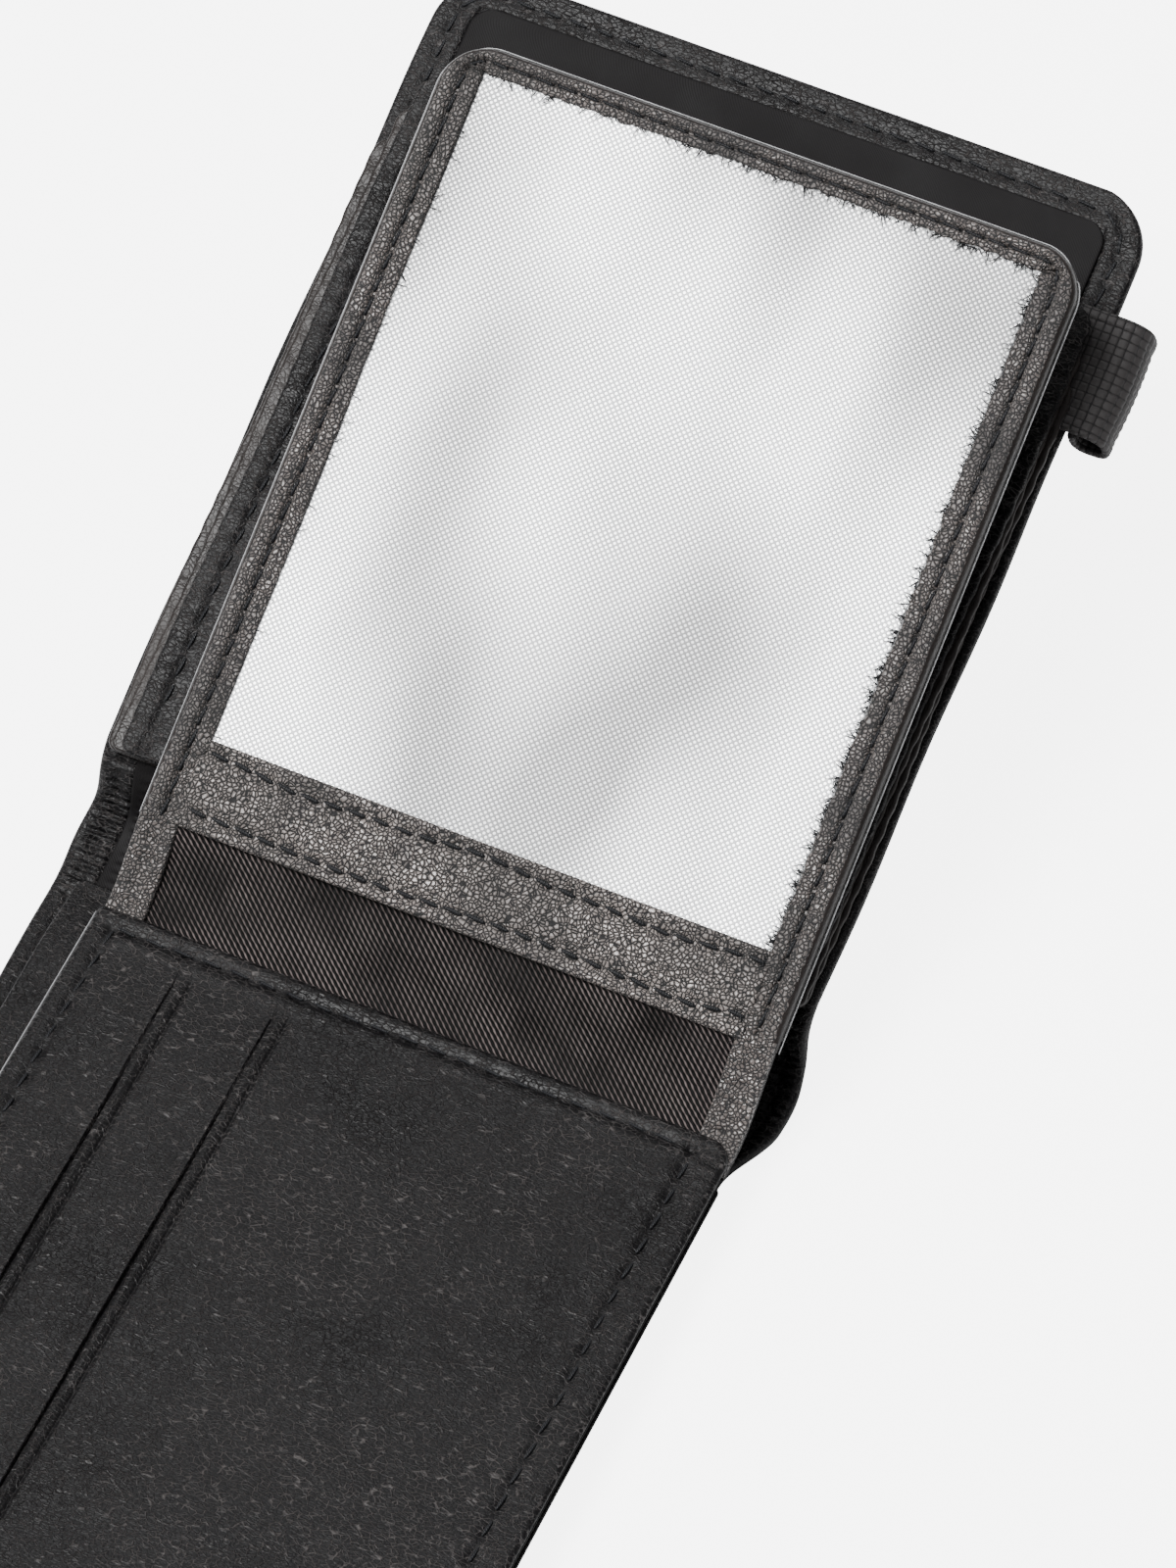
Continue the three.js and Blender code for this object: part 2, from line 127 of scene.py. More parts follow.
def stations(start, end, step, fine=(), more=()):
    """Sorted places from start to end: even steps, fine steps in from both ends, and any more."""
    count = max(2, int(round((end - start) / step)))
    even = np.linspace(start, end, count + 1)
    inset = np.asarray(fine, float)
    places = np.concatenate([even, start + inset, end - inset, np.asarray(more, float)])
    places = np.unique(np.round(places[(places >= start) & (places <= end)], 3))
    keep = np.concatenate([[True], np.diff(places) > 0.035])
    keep[-1] = True
    return places[keep]


EDGE_STEPS = (0.0, 0.06, 0.16, 0.32, 0.55, 0.9, 1.4, 2.1, 3.0, 4.0, 5.0)


# ---- Paths in the Y-Z plane along which the sheets run ----

def straight_path(origin, slope):
    """Distance s from origin along a line at this slope; offsets stand square to it."""
    def path(s):
        y = origin[0] + s * math.cos(slope)
        z = origin[1] + s * math.sin(slope)
        return y, z, np.full_like(s, -math.sin(slope)), np.full_like(s, math.cos(slope))
    return path


def bezier(p0, p1, p2, p3, count):
    """The cubic curve with these four control points, at even parameters."""
    t = np.linspace(0.0, 1.0, count)[:, None]
    points = np.array([p0, p1, p2, p3], float)
    weight = np.hstack([(1 - t) ** 3, 3 * t * (1 - t) ** 2, 3 * t * t * (1 - t), t ** 3])
    return weight @ points


def traced_path(points, s_at_first):
    """A path through these points: position by run length, the offset square to the local direction."""
    points = np.asarray(points, float)
    run = run_along(points[:, 0], points[:, 1]) + s_at_first
    slope = np.gradient(points, run, axis=0)
    slope /= np.linalg.norm(slope, axis=1)[:, None]

    def path(s):
        y = np.interp(s, run, points[:, 0])
        z = np.interp(s, run, points[:, 1])
        along_y = np.interp(s, run, slope[:, 0])
        along_z = np.interp(s, run, slope[:, 1])
        size = np.hypot(along_y, along_z)
        return y, z, -along_z / size, along_y / size
    return path, run, points


def right_point(v, w=0.0):
    """The Y and Z of a place v up the right panel and w off the middle of its cover."""
    c, s = math.cos(RIGHT_SLOPE), math.sin(RIGHT_SLOPE)
    return SECOND_FOLD[0] + v * c - w * s, SECOND_FOLD[1] + v * s + w * c


def leaf_point(v, w=0.0):
    """The Y and Z of a place v up the leaf and w above its hinge line."""
    c, s = math.cos(LEAF_SLOPE), math.sin(LEAF_SLOPE)
    return LEAF_HINGE[0] + v * c - w * s, LEAF_HINGE[1] + v * s + w * c


def cover_curve():
    """The middle of the cover: flat, down into the spine's round, up to the second fold and up the panel."""
    flat = np.array([[LEFT_END, 0.6], [0.0, 0.6], [30.0, 0.6], [44.0, 0.6]])
    low = bezier((47.0, 0.6), (52.5, 0.6), (60.5, 0.2), (64.6, 3.6), 40)
    steep = bezier((64.6, 3.6), (66.9, 5.6), (65.2, 9.6), right_point(4.0), 40)[1:]
    panel = np.array([right_point(8.0), right_point(60.0), right_point(RIGHT_END)])
    return traced_path(np.vstack([flat, low, steep, panel]), LEFT_END)


COVER_PATH, COVER_RUN, _ = cover_curve()
# Run length where the spine's round is cut in two, and where the right panel's own lengths begin.
SPINE_MIDDLE = float(COVER_RUN[4 + 39])
PANEL_START = float(COVER_RUN[-1]) - RIGHT_END
COVER_END = float(COVER_RUN[-1])
FLAT_PATH = straight_path((0.0, 0.0), 0.0)
RIGHT_PATH = straight_path(SECOND_FOLD, RIGHT_SLOPE)
LEAF_PATH = straight_path(LEAF_HINGE, LEAF_SLOPE)


def root_curve():
    """The leaf's soft root: from under the card panel's edge, up past the hinge line, to under the strip."""
    tongue = np.array([[44.9, 6.05], [47.5, 6.05]])
    rise = bezier((49.0, 6.1), (52.5, 6.3), (57.6, 11.3), leaf_point(4.0, 1.22), 50)
    under = np.array([leaf_point(9.0, 1.22), leaf_point(14.0, 1.22)])
    return traced_path(np.vstack([tongue, rise, under]), 0.0)


ROOT_PATH, ROOT_RUN, ROOT_POINTS = root_curve()
ROOT_HINGE = float(np.interp(LEAF_HINGE[0], ROOT_POINTS[:, 0], ROOT_RUN))
ROOT_LEAF_START = float(ROOT_RUN[-1]) - 14.0


def place(path, x, s, height):
    """Points at x across, s along the path and height off it."""
    y, z, off_y, off_z = path(s)
    return np.stack([x + 0.0 * s, y + height * off_y, z + height * off_z], axis=-1)


# ---- Meshes ----

def put_mesh(name, points, faces, flat, material):
    """A smooth-shaded object from points in millimetres, with its flat layout in metres as the UV map."""
    mesh = bpy.data.meshes.new(name)
    mesh.from_pydata((points.reshape(-1, 3) * MM).tolist(), [], faces)
    mesh.update()
    mesh.polygons.foreach_set("use_smooth", np.ones(len(mesh.polygons), bool))
    corner = np.empty(len(mesh.loops), np.int32)
    mesh.loops.foreach_get("vertex_index", corner)
    layout = mesh.uv_layers.new(name="Flat")
    layout.data.foreach_set("uv", (flat.reshape(-1, 2)[corner] * MM).astype(np.float32).ravel())
    mesh.materials.append(material)
    piece = bpy.data.objects.new(name, mesh)
    bpy.context.scene.collection.objects.link(piece)
    return piece


def ring_faces(rings, around, first=0):
    """Quads between rings of points that close on themselves, and one face at each end."""
    i = np.arange(rings - 1)[:, None]
    j = np.arange(around)[None, :]
    k = (j + 1) % around
    quads = np.stack([i * around + j, i * around + k, (i + 1) * around + k, (i + 1) * around + j], -1)
    faces = (quads.reshape(-1, 4) + first).tolist()
    faces.append((np.arange(around)[::-1] + first).tolist())
    faces.append((np.arange(around) + (rings - 1) * around + first).tolist())
    return faces


def closed_strip(name, top, under, flat, material):
    """A closed solid from its top rows and under rows, which meet halfway at their two side edges."""
    top[:, [0, -1]] = 0.5 * (top[:, [0, -1]] + under[:, [0, -1]])
    ring = np.concatenate([top, under[:, -2:0:-1]], axis=1)
    layout = np.concatenate([flat, flat[:, -2:0:-1]], axis=1)
    return put_mesh(name, ring, ring_faces(ring.shape[0], ring.shape[1]), layout, material)


def corner_inset(from_end, radius):
    """How far a rounded corner pulls the side in, at this distance from the end."""
    if radius <= 0.0:
        return np.zeros_like(from_end)
    t = np.clip(radius - from_end, 0.0, radius)
    return radius - np.sqrt(np.maximum(radius ** 2 - t ** 2, 0.0))


def panel(name, material, path, sides, span, faces, roll, corners=(0, 0, 0, 0), cut=(False, False),
          steps=(3.0, 3.0), more_x=(), more_s=(), relief=None, shift=None, under_relief=None):
    """A sheet with rolled edges along a path.

    Across it runs from side to side, pulled in at the corners by their arcs, and its thickness goes to
    nothing at the edge as a quarter round of the roll radius. Relief is added to the upper face.
    """
    left, right = sides
    near, far = span
    bends = [r * (1 - math.cos(a)) for r in corners if r for a in np.linspace(0.0, math.pi / 2, 9)]
    s_line = stations(near, far, steps[1], EDGE_STEPS + tuple(bends), more_s)
    x_line = stations(left, right, steps[0], EDGE_STEPS, more_x)
    x_flat, s = np.meshgrid(x_line, s_line)
    low_side = left + corner_inset(s - near, corners[0])
    low_side = np.maximum(low_side, left + corner_inset(far - s, corners[2]))
    high_side = right - corner_inset(s - near, corners[1])
    high_side = np.minimum(high_side, right - corner_inset(far - s, corners[3]))
    x = low_side + (x_flat - left) * (high_side - low_side) / (right - left)
    to_edge = np.minimum(x - low_side, high_side - x)
    if not cut[0]:
        to_edge = np.minimum(to_edge, s - near)
    if not cut[1]:
        to_edge = np.minimum(to_edge, far - s)
    round_off = round_edge(to_edge, roll)
    middle = 0.5 * (faces[0] + faces[1])
    half = 0.5 * (faces[1] - faces[0])
    lift = relief(x, s, to_edge)
    drop = under_relief(x, s, to_edge) if under_relief else 0.0
    up = middle + np.maximum(half + lift, -half + 0.05) * np.maximum(round_off, 0.0)
    down = middle - (half - drop) * np.maximum(round_off, 0.0)
    up[[0, -1]] = np.maximum(up[[0, -1]], down[[0, -1]] + THINNEST)
    if shift:
        dx, dh = shift(x, s, to_edge)
        x = x + dx
        up = up + dh
        down = down + dh
    top, under = place(path, x, s, up), place(path, x, s, down)
    return closed_strip(name, top, under, np.stack([x_flat, s], -1), material)


def capsules(name, centre, along, up, length, width, material, taper=0.0):
    """Many small round-ended bars: five rings of six points each, drawn in at the ends."""
    count = len(centre)
    along = along / np.linalg.norm(along, axis=1)[:, None]
    side = np.cross(along, up)
    side /= np.linalg.norm(side, axis=1)[:, None]
    up = np.cross(side, along)
    t = np.array([-0.5, -0.36, 0.0, 0.36, 0.5])
    girth = np.array([0.42, 0.85, 1.0, 0.85, 0.42]) * (1.0 - taper * (t + 0.5))
    angle = np.arange(6) * math.pi / 3
    length = np.broadcast_to(np.asarray(length, float), count)
    width = np.broadcast_to(np.asarray(width, float), count)
    run = along[:, None, None, :] * (length[:, None] * t)[:, :, None, None]
    radius = 0.5 * width[:, None, None] * girth[None, :, None]
    out = side[:, None, None, :] * (radius * np.cos(angle))[..., None]
    out = out - up[:, None, None, :] * (radius * np.sin(angle))[..., None]
    points = centre[:, None, None, :] + run + out
    one = ring_faces(5, 6)
    faces = [[n + 30 * k for n in face] for k in range(count) for face in one]
    flat = np.broadcast_to(centre[:, None, None, :2], (count, 5, 6, 2))
    return put_mesh(name, points, faces, flat, material)


def stitch_row(path, x, s, height, pitch=STITCH_PITCH):
    """Even places along a row given by dense points: centre, direction and upward normal of each stitch."""
    line = place(path, x, s, height)
    run = np.concatenate([[0.0], np.cumsum(np.linalg.norm(np.diff(line, axis=0), axis=1))])
    at = np.arange(0.5 * pitch, run[-1] - 0.2 * pitch, pitch)
    centre = np.stack([np.interp(at, run, line[:, k]) for k in range(3)], -1)
    ahead = np.stack([np.interp(at + 0.3, run, line[:, k]) for k in range(3)], -1)
    behind = np.stack([np.interp(at - 0.3, run, line[:, k]) for k in range(3)], -1)
    _, _, off_y, off_z = path(np.interp(at, run, s))
    up = np.stack([0.0 * off_y, off_y, off_z], -1)
    return centre, ahead - behind, up


def stitches(name, rows, material, length=2.5, width=0.52):
    """Separate stitches on these rows, each turned a little off its row as a lock stitch lies."""
    centre = np.concatenate([row[0] for row in rows])
    along = np.concatenate([row[1] for row in rows])
    up = np.concatenate([row[2] for row in rows])
    side = np.cross(along, up)
    along = along + 0.12 * side
    spread = 1.0 + 0.08 * np.sin(7.0 * np.arange(len(centre)))
    return capsules(name, centre, along, up, length * spread, width, material)


# ---- Shared effects ----

def fill(tree, node, **values):
    """Each named socket takes its number or its link; an underscore stands for a space in the name."""
    for label, value in values.items():
        socket = node.inputs[label.replace("_", " ")]
        if isinstance(value, bpy.types.NodeSocket):
            tree.links.new(value, socket)
        else:
            socket.default_value = value
    return node


def new_group(name, inputs, outputs):
    """An empty shader group: a vector and these numbers in, these numbers out; gives tree and ends."""
    tree = bpy.data.node_groups.new(name, "ShaderNodeTree")
    tree.interface.new_socket("Vector", in_out="INPUT", socket_type="NodeSocketVector")
    for label, value in inputs:
        socket = tree.interface.new_socket(label, in_out="INPUT", socket_type="NodeSocketFloat")
        socket.default_value = value
    for label in outputs:
        tree.interface.new_socket(label, in_out="OUTPUT", socket_type="NodeSocketFloat")
    return tree, tree.nodes.new("NodeGroupInput"), tree.nodes.new("NodeGroupOutput")


def math_node(tree, operation, *values):
    """One Math node with its inputs linked or set, in order."""
    node = tree.nodes.new("ShaderNodeMath")
    node.operation = operation
    for slot, value in enumerate(values):
        if isinstance(value, bpy.types.NodeSocket):
            tree.links.new(value, node.inputs[slot])
        else:
            node.inputs[slot].default_value = value
    return node.outputs[0]


def map_range(tree, value, from_low, from_high, to_low, to_high):
    """A clamped straight-line change of range."""
    node = tree.nodes.new("ShaderNodeMapRange")
    fill(tree, node, Value=value, From_Min=from_low, From_Max=from_high, To_Min=to_low, To_Max=to_high)
    return node.outputs["Result"]


def noise_node(tree, vector, scale, detail=3.0, rough=0.55):
    """One Noise node on this vector."""
    node = tree.nodes.new("ShaderNodeTexNoise")
    return fill(tree, node, Vector=vector, Scale=scale, Detail=detail, Roughness=rough).outputs["Fac"]


def wandering(tree, vector, amount):
    """The vector pushed about by a noise colour: (colour minus a half) times the amount, added on."""
    bend = fill(tree, tree.nodes.new("ShaderNodeTexNoise"), Vector=vector, Scale=420.0, Detail=2.0)
    centre = tree.nodes.new("ShaderNodeVectorMath")
    centre.operation = "SUBTRACT"
    tree.links.new(bend.outputs["Color"], centre.inputs[0])
    centre.inputs[1].default_value = (0.5, 0.5, 0.5)
    push = tree.nodes.new("ShaderNodeVectorMath")
    push.operation = "SCALE"
    tree.links.new(centre.outputs[0], push.inputs[0])
    tree.links.new(amount, push.inputs["Scale"])
    moved = tree.nodes.new("ShaderNodeVectorMath")
    moved.operation = "ADD"
    tree.links.new(vector, moved.inputs[0])
    tree.links.new(push.outputs[0], moved.inputs[1])
    return moved.outputs[0]


def build_leather_grain():
    """Grain cells: the distance to the cell walls, bent by noise, gives rounded tops and thin valleys."""
    tree, start, end = new_group("leather_grain", (("Cells Per Metre", 1300.0), ("Wander", 0.0004)),
                                 ("Height", "Tops", "Walls", "Patches"))
    vector = start.outputs["Vector"]
    cells = tree.nodes.new("ShaderNodeTexVoronoi")
    cells.feature = "DISTANCE_TO_EDGE"
    fill(tree, cells, Vector=wandering(tree, vector, start.outputs["Wander"]),
         Scale=start.outputs["Cells Per Metre"])
    to_wall = cells.outputs["Distance"]
    rounded = math_node(tree, "POWER", map_range(tree, to_wall, 0.0, 0.28, 0.0, 1.0), 0.55)
    fine = noise_node(tree, vector, 5200.0, 2.0)
    fill(tree, end, Height=math_node(tree, "MULTIPLY_ADD", fine, 0.16, rounded),
         Tops=map_range(tree, rounded, 0.46, 0.76, 0.0, 1.0),
         Walls=map_range(tree, to_wall, 0.0, 0.10, 1.0, 0.0),
         Patches=noise_node(tree, vector, 60.0, 4.0))
    return tree


def build_plain_weave():
    """Threads over and under.

    The product of two sines gives the pillow of each crossing and which thread is up.
    """
    tree, start, end = new_group("plain_weave", (("Threads Per Metre", 1250.0),),
                                 ("Height", "Over", "Gap", "Waves"))
    split = fill(tree, tree.nodes.new("ShaderNodeSeparateXYZ"), Vector=start.outputs["Vector"])
    turns = math_node(tree, "MULTIPLY", start.outputs["Threads Per Metre"], math.pi)
    across = math_node(tree, "SINE", math_node(tree, "MULTIPLY", split.outputs["X"], turns))
    along = math_node(tree, "SINE", math_node(tree, "MULTIPLY", split.outputs["Y"], turns))
    product = math_node(tree, "MULTIPLY", across, along)
    pillow = math_node(tree, "POWER", math_node(tree, "ABSOLUTE", product), 0.5)
    over = map_range(tree, product, -0.25, 0.25, 0.0, 1.0)
    stretch = fill(tree, tree.nodes.new("ShaderNodeMapping"), Vector=start.outputs["Vector"],
                   Scale=(1.0, 0.42, 1.0), Rotation=(0.0, 0.0, math.radians(-24.0)))
    # Shading is a stretched, turned noise that the window cloth uses for broad bands of painted light and
    # shade.
    fill(tree, end, Height=math_node(tree, "MULTIPLY_ADD", over, 0.35, pillow), Over=over,
         Gap=map_range(tree, pillow, 0.12, 0.5, 1.0, 0.0),
         Waves=noise_node(tree, stretch.outputs["Vector"], 34.0, 1.0, 0.4))
    return tree


def build_twill_ribs():
    """Slanting ribs: a sine across the ribs, broken into floats by a second sine along them."""
    tree, start, end = new_group("twill_ribs", (("Ribs Per Metre", 1350.0), ("Slant", 0.55)),
                                 ("Height", "Floats", "Patches"))
    split = fill(tree, tree.nodes.new("ShaderNodeSeparateXYZ"), Vector=start.outputs["Vector"])
    slanted = math_node(tree, "MULTIPLY_ADD", split.outputs["Y"], start.outputs["Slant"], split.outputs["X"])
    turns = math_node(tree, "MULTIPLY", start.outputs["Ribs Per Metre"], 2.0 * math.pi)
    rib = math_node(tree, "SINE", math_node(tree, "MULTIPLY", slanted, turns))
    dash = math_node(tree, "SINE", math_node(tree, "MULTIPLY", split.outputs["X"], turns))
    height = math_node(tree, "MULTIPLY_ADD", dash, 0.28, rib)
    fill(tree, end, Height=height, Floats=map_range(tree, height, -0.2, 1.2, 0.0, 1.0),
         Patches=noise_node(tree, start.outputs["Vector"], 90.0, 4.0))
    return tree


LEATHER_GRAIN = build_leather_grain()
PLAIN_WEAVE = build_plain_weave()
TWILL_RIBS = build_twill_ribs()


# ---- Materials ----

def new_material(name):
    """A material with a Principled shader; gives it, its tree and the shader."""
    material = bpy.data.materials.new(name)
    material.use_nodes = True
    tree = material.node_tree
    return material, tree, tree.nodes["Principled BSDF"]


def coordinates(tree, kind, stretch=(1.0, 1.0, 1.0), turn=0.0):
    """Object coordinates or the flat layout, stretched and turned."""
    source = tree.nodes.new("ShaderNodeTexCoord")
    node = tree.nodes.new("ShaderNodeMapping")
    fill(tree, node, Vector=source.outputs[kind], Scale=stretch, Rotation=(0.0, 0.0, turn))
    return node.outputs["Vector"]


def use_group(tree, group, vector, **values):
    """The outputs of one copy of a shared effect on this vector, with its own values."""
    node = tree.nodes.new("ShaderNodeGroup")
    node.node_tree = group
    return fill(tree, node, Vector=vector, **values).outputs


def two_colours(tree, mask, low, high, kind="MIX"):
    """A colour between two by a mask; either colour may be a link."""
    node = tree.nodes.new("ShaderNodeMix")
    node.data_type = "RGBA"
    node.blend_type = kind
    low, high = ((*c, 1.0) if isinstance(c, tuple) else c for c in (low, high))
    return fill(tree, node, Factor=mask, A=low, B=high).outputs["Result"]


def bump(tree, height, strength, distance, **under):
    """A Bump node: height as a slope of the surface."""
    node = tree.nodes.new("ShaderNodeBump")
    fill(tree, node, Height=height, Strength=strength, Distance=distance, **under)
    return node.outputs["Normal"]


def smooth_leather():
    """Matte black calf: dark smooth cells, with thin broken crease lines drawn out across the panel, painted
    lighter as highlights on their ridges.
    """
    material, tree, shader = new_material("smooth_leather")
    grain = use_group(tree, LEATHER_GRAIN, coordinates(tree, "Object", (0.7, 1.0, 1.0)),
                      Cells_Per_Metre=2100.0, Wander=0.0009)
    crease = use_group(tree, LEATHER_GRAIN, coordinates(tree, "Object", (0.55, 1.0, 1.0), 0.10),
                       Cells_Per_Metre=1750.0, Wander=0.0010)
    broken = noise_node(tree, coordinates(tree, "Object", (0.5, 1.0, 1.0)), 1300.0, 2.0)
    ridge = math_node(tree, "MULTIPLY", crease["Walls"], map_range(tree, broken, 0.36, 0.60, 0.0, 1.0))
    patchy_painted_highlight = math_node(tree, "MULTIPLY", ridge, map_range(tree, grain["Patches"], 0.38, 0.62, 0.25, 1.0))
    coarse = bump(tree, ridge, 0.75, 0.00015)
    # The lighter crease colour is a painted highlight on the crease ridges, shown in patches.
    fill(tree, shader, Base_Color=two_colours(tree, patchy_painted_highlight, (0.0018, 0.0016, 0.0018), (0.042, 0.038, 0.037)),
         Roughness=map_range(tree, grain["Patches"], 0.3, 0.7, 0.32, 0.50), Specular_IOR_Level=0.115,
         Normal=bump(tree, grain["Height"], 0.28, 0.00012, Normal=coarse))
    return material


def grain_leather(name, cells, lit_top_colour, gloss, depth):
    """Pebbled leather: broad grey-brown tops painted lighter as highlight, parted by thin black valleys; the
    painted highlight is duller in some patches.
    """
    material, tree, shader = new_material(name)
    grain = use_group(tree, LEATHER_GRAIN, coordinates(tree, "Object"), Cells_Per_Metre=cells, Wander=0.0012)
    patchy_painted_highlight = map_range(tree, grain["Patches"], 0.34, 0.60, 0.30, 1.0)
    painted_lit_tops = math_node(tree, "MULTIPLY", grain["Tops"], patchy_painted_highlight)
    # The grey-brown top colour is a painted highlight on the pebble tops, over the black of the valleys.
    fill(tree, shader, Base_Color=two_colours(tree, painted_lit_tops, (0.0005, 0.0004, 0.0005), lit_top_colour),
         Roughness=map_range(tree, painted_lit_tops, 0.0, 1.0, 0.90, 0.25), Specular_IOR_Level=gloss,
         Normal=bump(tree, grain["Height"], 1.0, depth))
    return material


def turned_edge_leather():
    """The thin glossier leather of turned edges: grain cells, lighter in patches."""
    material, tree, shader = new_material("turned_edge_leather")
    grain = use_group(tree, LEATHER_GRAIN, coordinates(tree, "Object"), Cells_Per_Metre=1500.0, Wander=0.0012)
    patches = grain["Patches"]
    colour = two_colours(tree, patches, (0.0016, 0.0014, 0.0015), (0.0160, 0.0125, 0.0112))
    fill(tree, shader, Base_Color=colour,
         Roughness=map_range(tree, patches, 0.3, 0.7, 0.30, 0.46), Specular_IOR_Level=0.15,
         Normal=bump(tree, grain["Height"], 0.24, 0.00014))
    return material


def lining_cloth():
    """Smooth black satin lining with a faint fine weave."""
    material, tree, shader = new_material("lining_cloth")
    ribs = use_group(tree, TWILL_RIBS, coordinates(tree, "UV"), Ribs_Per_Metre=2600.0, Slant=0.9)
    patches = ribs["Patches"]
    colour = two_colours(tree, patches, (0.0022, 0.0020, 0.0021), (0.0046, 0.0040, 0.0042))
    fill(tree, shader, Base_Color=colour,
         Roughness=map_range(tree, patches, 0.3, 0.7, 0.55, 0.68), Specular_IOR_Level=0.07,
         Normal=bump(tree, ribs["Height"], 0.15, 0.00008))
    return material


def twill_cloth():
    """Brown-black twill with plainly visible slanting ribs, the grooves between its floats and broad
    wave-shaped patches painted dark as shade, and a soft sheen.
    """
    material, tree, shader = new_material("twill_cloth")
    ribs = use_group(tree, TWILL_RIBS, coordinates(tree, "UV"), Ribs_Per_Metre=1150.0, Slant=1.15)
    painted_float_shading = map_range(tree, ribs["Floats"], 0.25, 0.85, 0.0, 1.0)
    painted_float_shading = math_node(tree, "MULTIPLY", painted_float_shading, map_range(tree, ribs["Patches"], 0.38, 0.60, 0.35, 1.0))
    # Painted shade: near black in the grooves between the floats, and darker in broad wave-shaped patches;
    # the floats keep the cloth's brown.
    fill(tree, shader, Base_Color=two_colours(tree, painted_float_shading, (0.0002, 0.0002, 0.0002), (0.090, 0.073, 0.070)),
         Roughness=map_range(tree, ribs["Patches"], 0.3, 0.7, 0.45, 0.6), Specular_IOR_Level=0.10,
         Sheen_Weight=0.03, Sheen_Roughness=0.4, Normal=bump(tree, ribs["Height"], 0.9, 0.00012))
    return material


def window_cloth():
    """Silver-white plain weave: bright floats, lower threads dimmed and grey dots in the gaps between them as
    painted shade, and broad soft bands of painted light and shade.
    """
    material, tree, shader = new_material("window_cloth")
    weave = use_group(tree, PLAIN_WEAVE, coordinates(tree, "UV"), Threads_Per_Metre=2500.0)
    # Painted shade: the threads that lie under are dimmed, and the gaps between threads are darkened to grey
    # dots.
    floats = two_colours(tree, weave["Over"], (0.34, 0.345, 0.355), (1.0, 1.0, 1.0))
    dots = math_node(tree, "MULTIPLY", weave["Gap"], 0.95)
    dotted = two_colours(tree, dots, floats, (0.04, 0.04, 0.045))
    # Painted light and shade: broad soft bands from a stretched noise multiply the colour.
    shade = map_range(tree, weave["Waves"], 0.38, 0.58, 0.30, 1.0)
    fill(tree, shader, Base_Color=two_colours(tree, 1.0, dotted, shade, "MULTIPLY"),
         Roughness=map_range(tree, weave["Over"], 0.0, 1.0, 0.55, 0.36), Specular_IOR_Level=0.8,
         Metallic=0.30, Normal=bump(tree, weave["Height"], 0.35, 0.00006))
    return material


def mottled(name, scale, low, high, roughness):
    """A plain surface with a fine mottle between two greys."""
    material, tree, shader = new_material(name)
    mottle = noise_node(tree, coordinates(tree, "Object"), scale, 3.0)
    fill(tree, shader, Base_Color=two_colours(tree, mottle, low, high), Roughness=roughness)
    return material


def seam_thread():
    """Black thread with a blue-grey glint on its ply."""
    material, tree, shader = new_material("seam_thread")
    ply = use_group(tree, TWILL_RIBS, coordinates(tree, "Object"), Ribs_Per_Metre=3200.0, Slant=0.8)
    colour = two_colours(tree, ply["Floats"], (0.0010, 0.0011, 0.0015), (0.0055, 0.0060, 0.0080))
    fill(tree, shader, Base_Color=colour, Roughness=0.5, Specular_IOR_Level=0.16, Sheen_Weight=0.03,
         Normal=bump(tree, ply["Height"], 0.4, 0.00006))
    return material


def elastic_webbing():
    """Black elastic webbing: ribs round the loop and small gaps between them painted dark as shade."""
    material, tree, shader = new_material("elastic_webbing")
    weave = use_group(tree, PLAIN_WEAVE, coordinates(tree, "UV"), Threads_Per_Metre=880.0)
    # Painted shade: the gaps between the ribs are near black.
    colour = two_colours(tree, weave["Gap"], (0.0200, 0.0180, 0.0180), (0.0003, 0.0003, 0.0004))
    fill(tree, shader, Base_Color=colour, Roughness=0.6, Specular_IOR_Level=0.22,
         Normal=bump(tree, weave["Height"], 0.9, 0.00022))
    return material


def floor_paint():
    """Matt off-white, which also glows white in direct sight, so that the ground looks evenly lit."""
    material, tree, shader = new_material("floor_paint")
    fill(tree, shader, Base_Color=(0.86, 0.86, 0.865, 1.0), Roughness=0.9, Specular_IOR_Level=0.1)
    glow = fill(tree, tree.nodes.new("ShaderNodeEmission"), Color=(1.0, 1.0, 1.0, 1.0), Strength=10.0)
    seen = tree.nodes.new("ShaderNodeMixShader")
    sight = tree.nodes.new("ShaderNodeLightPath")
    fill(tree, seen, Fac=math_node(tree, "MULTIPLY", sight.outputs["Is Camera Ray"], 0.55))
    tree.links.new(shader.outputs["BSDF"], seen.inputs[1])
    tree.links.new(glow.outputs["Emission"], seen.inputs[2])
    fill(tree, tree.nodes["Material Output"], Surface=seen.outputs["Shader"])
    return material


# The pale mottle of this edge bead is a painted highlight on the cut edges.
EDGE_HIGHLIGHT = mottled("edge_highlight_paint", 700.0, (0.02, 0.02, 0.021), (0.30, 0.30, 0.31), 0.35)
SMOOTH = smooth_leather()
# The third value of each is the painted highlight colour of the pebble tops.
GRAIN = grain_leather("grain_leather", 1900.0, (0.125, 0.108, 0.100), 0.5, 0.00022)
BINDING = grain_leather("binding_leather", 1950.0, (0.074, 0.062, 0.057), 0.55, 0.00018)
TURNED = turned_edge_leather()
LINING = lining_cloth()
TWILL = twill_cloth()
WINDOW = window_cloth()
CARD = mottled("white_card", 900.0, (0.70, 0.70, 0.69), (0.80, 0.80, 0.79), 0.7)
THREAD = seam_thread()
WEBBING = elastic_webbing()


def fit(piece, body, slot, *nodes):
    """The piece moves with one body and stands for these CAD nodes, which are hidden; slot is not used."""
    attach(piece, body)
    if nodes:
        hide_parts(*nodes)


def bend_at_first_fold(piece):
    """The piece's transform is baked into its mesh."""
    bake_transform(piece)


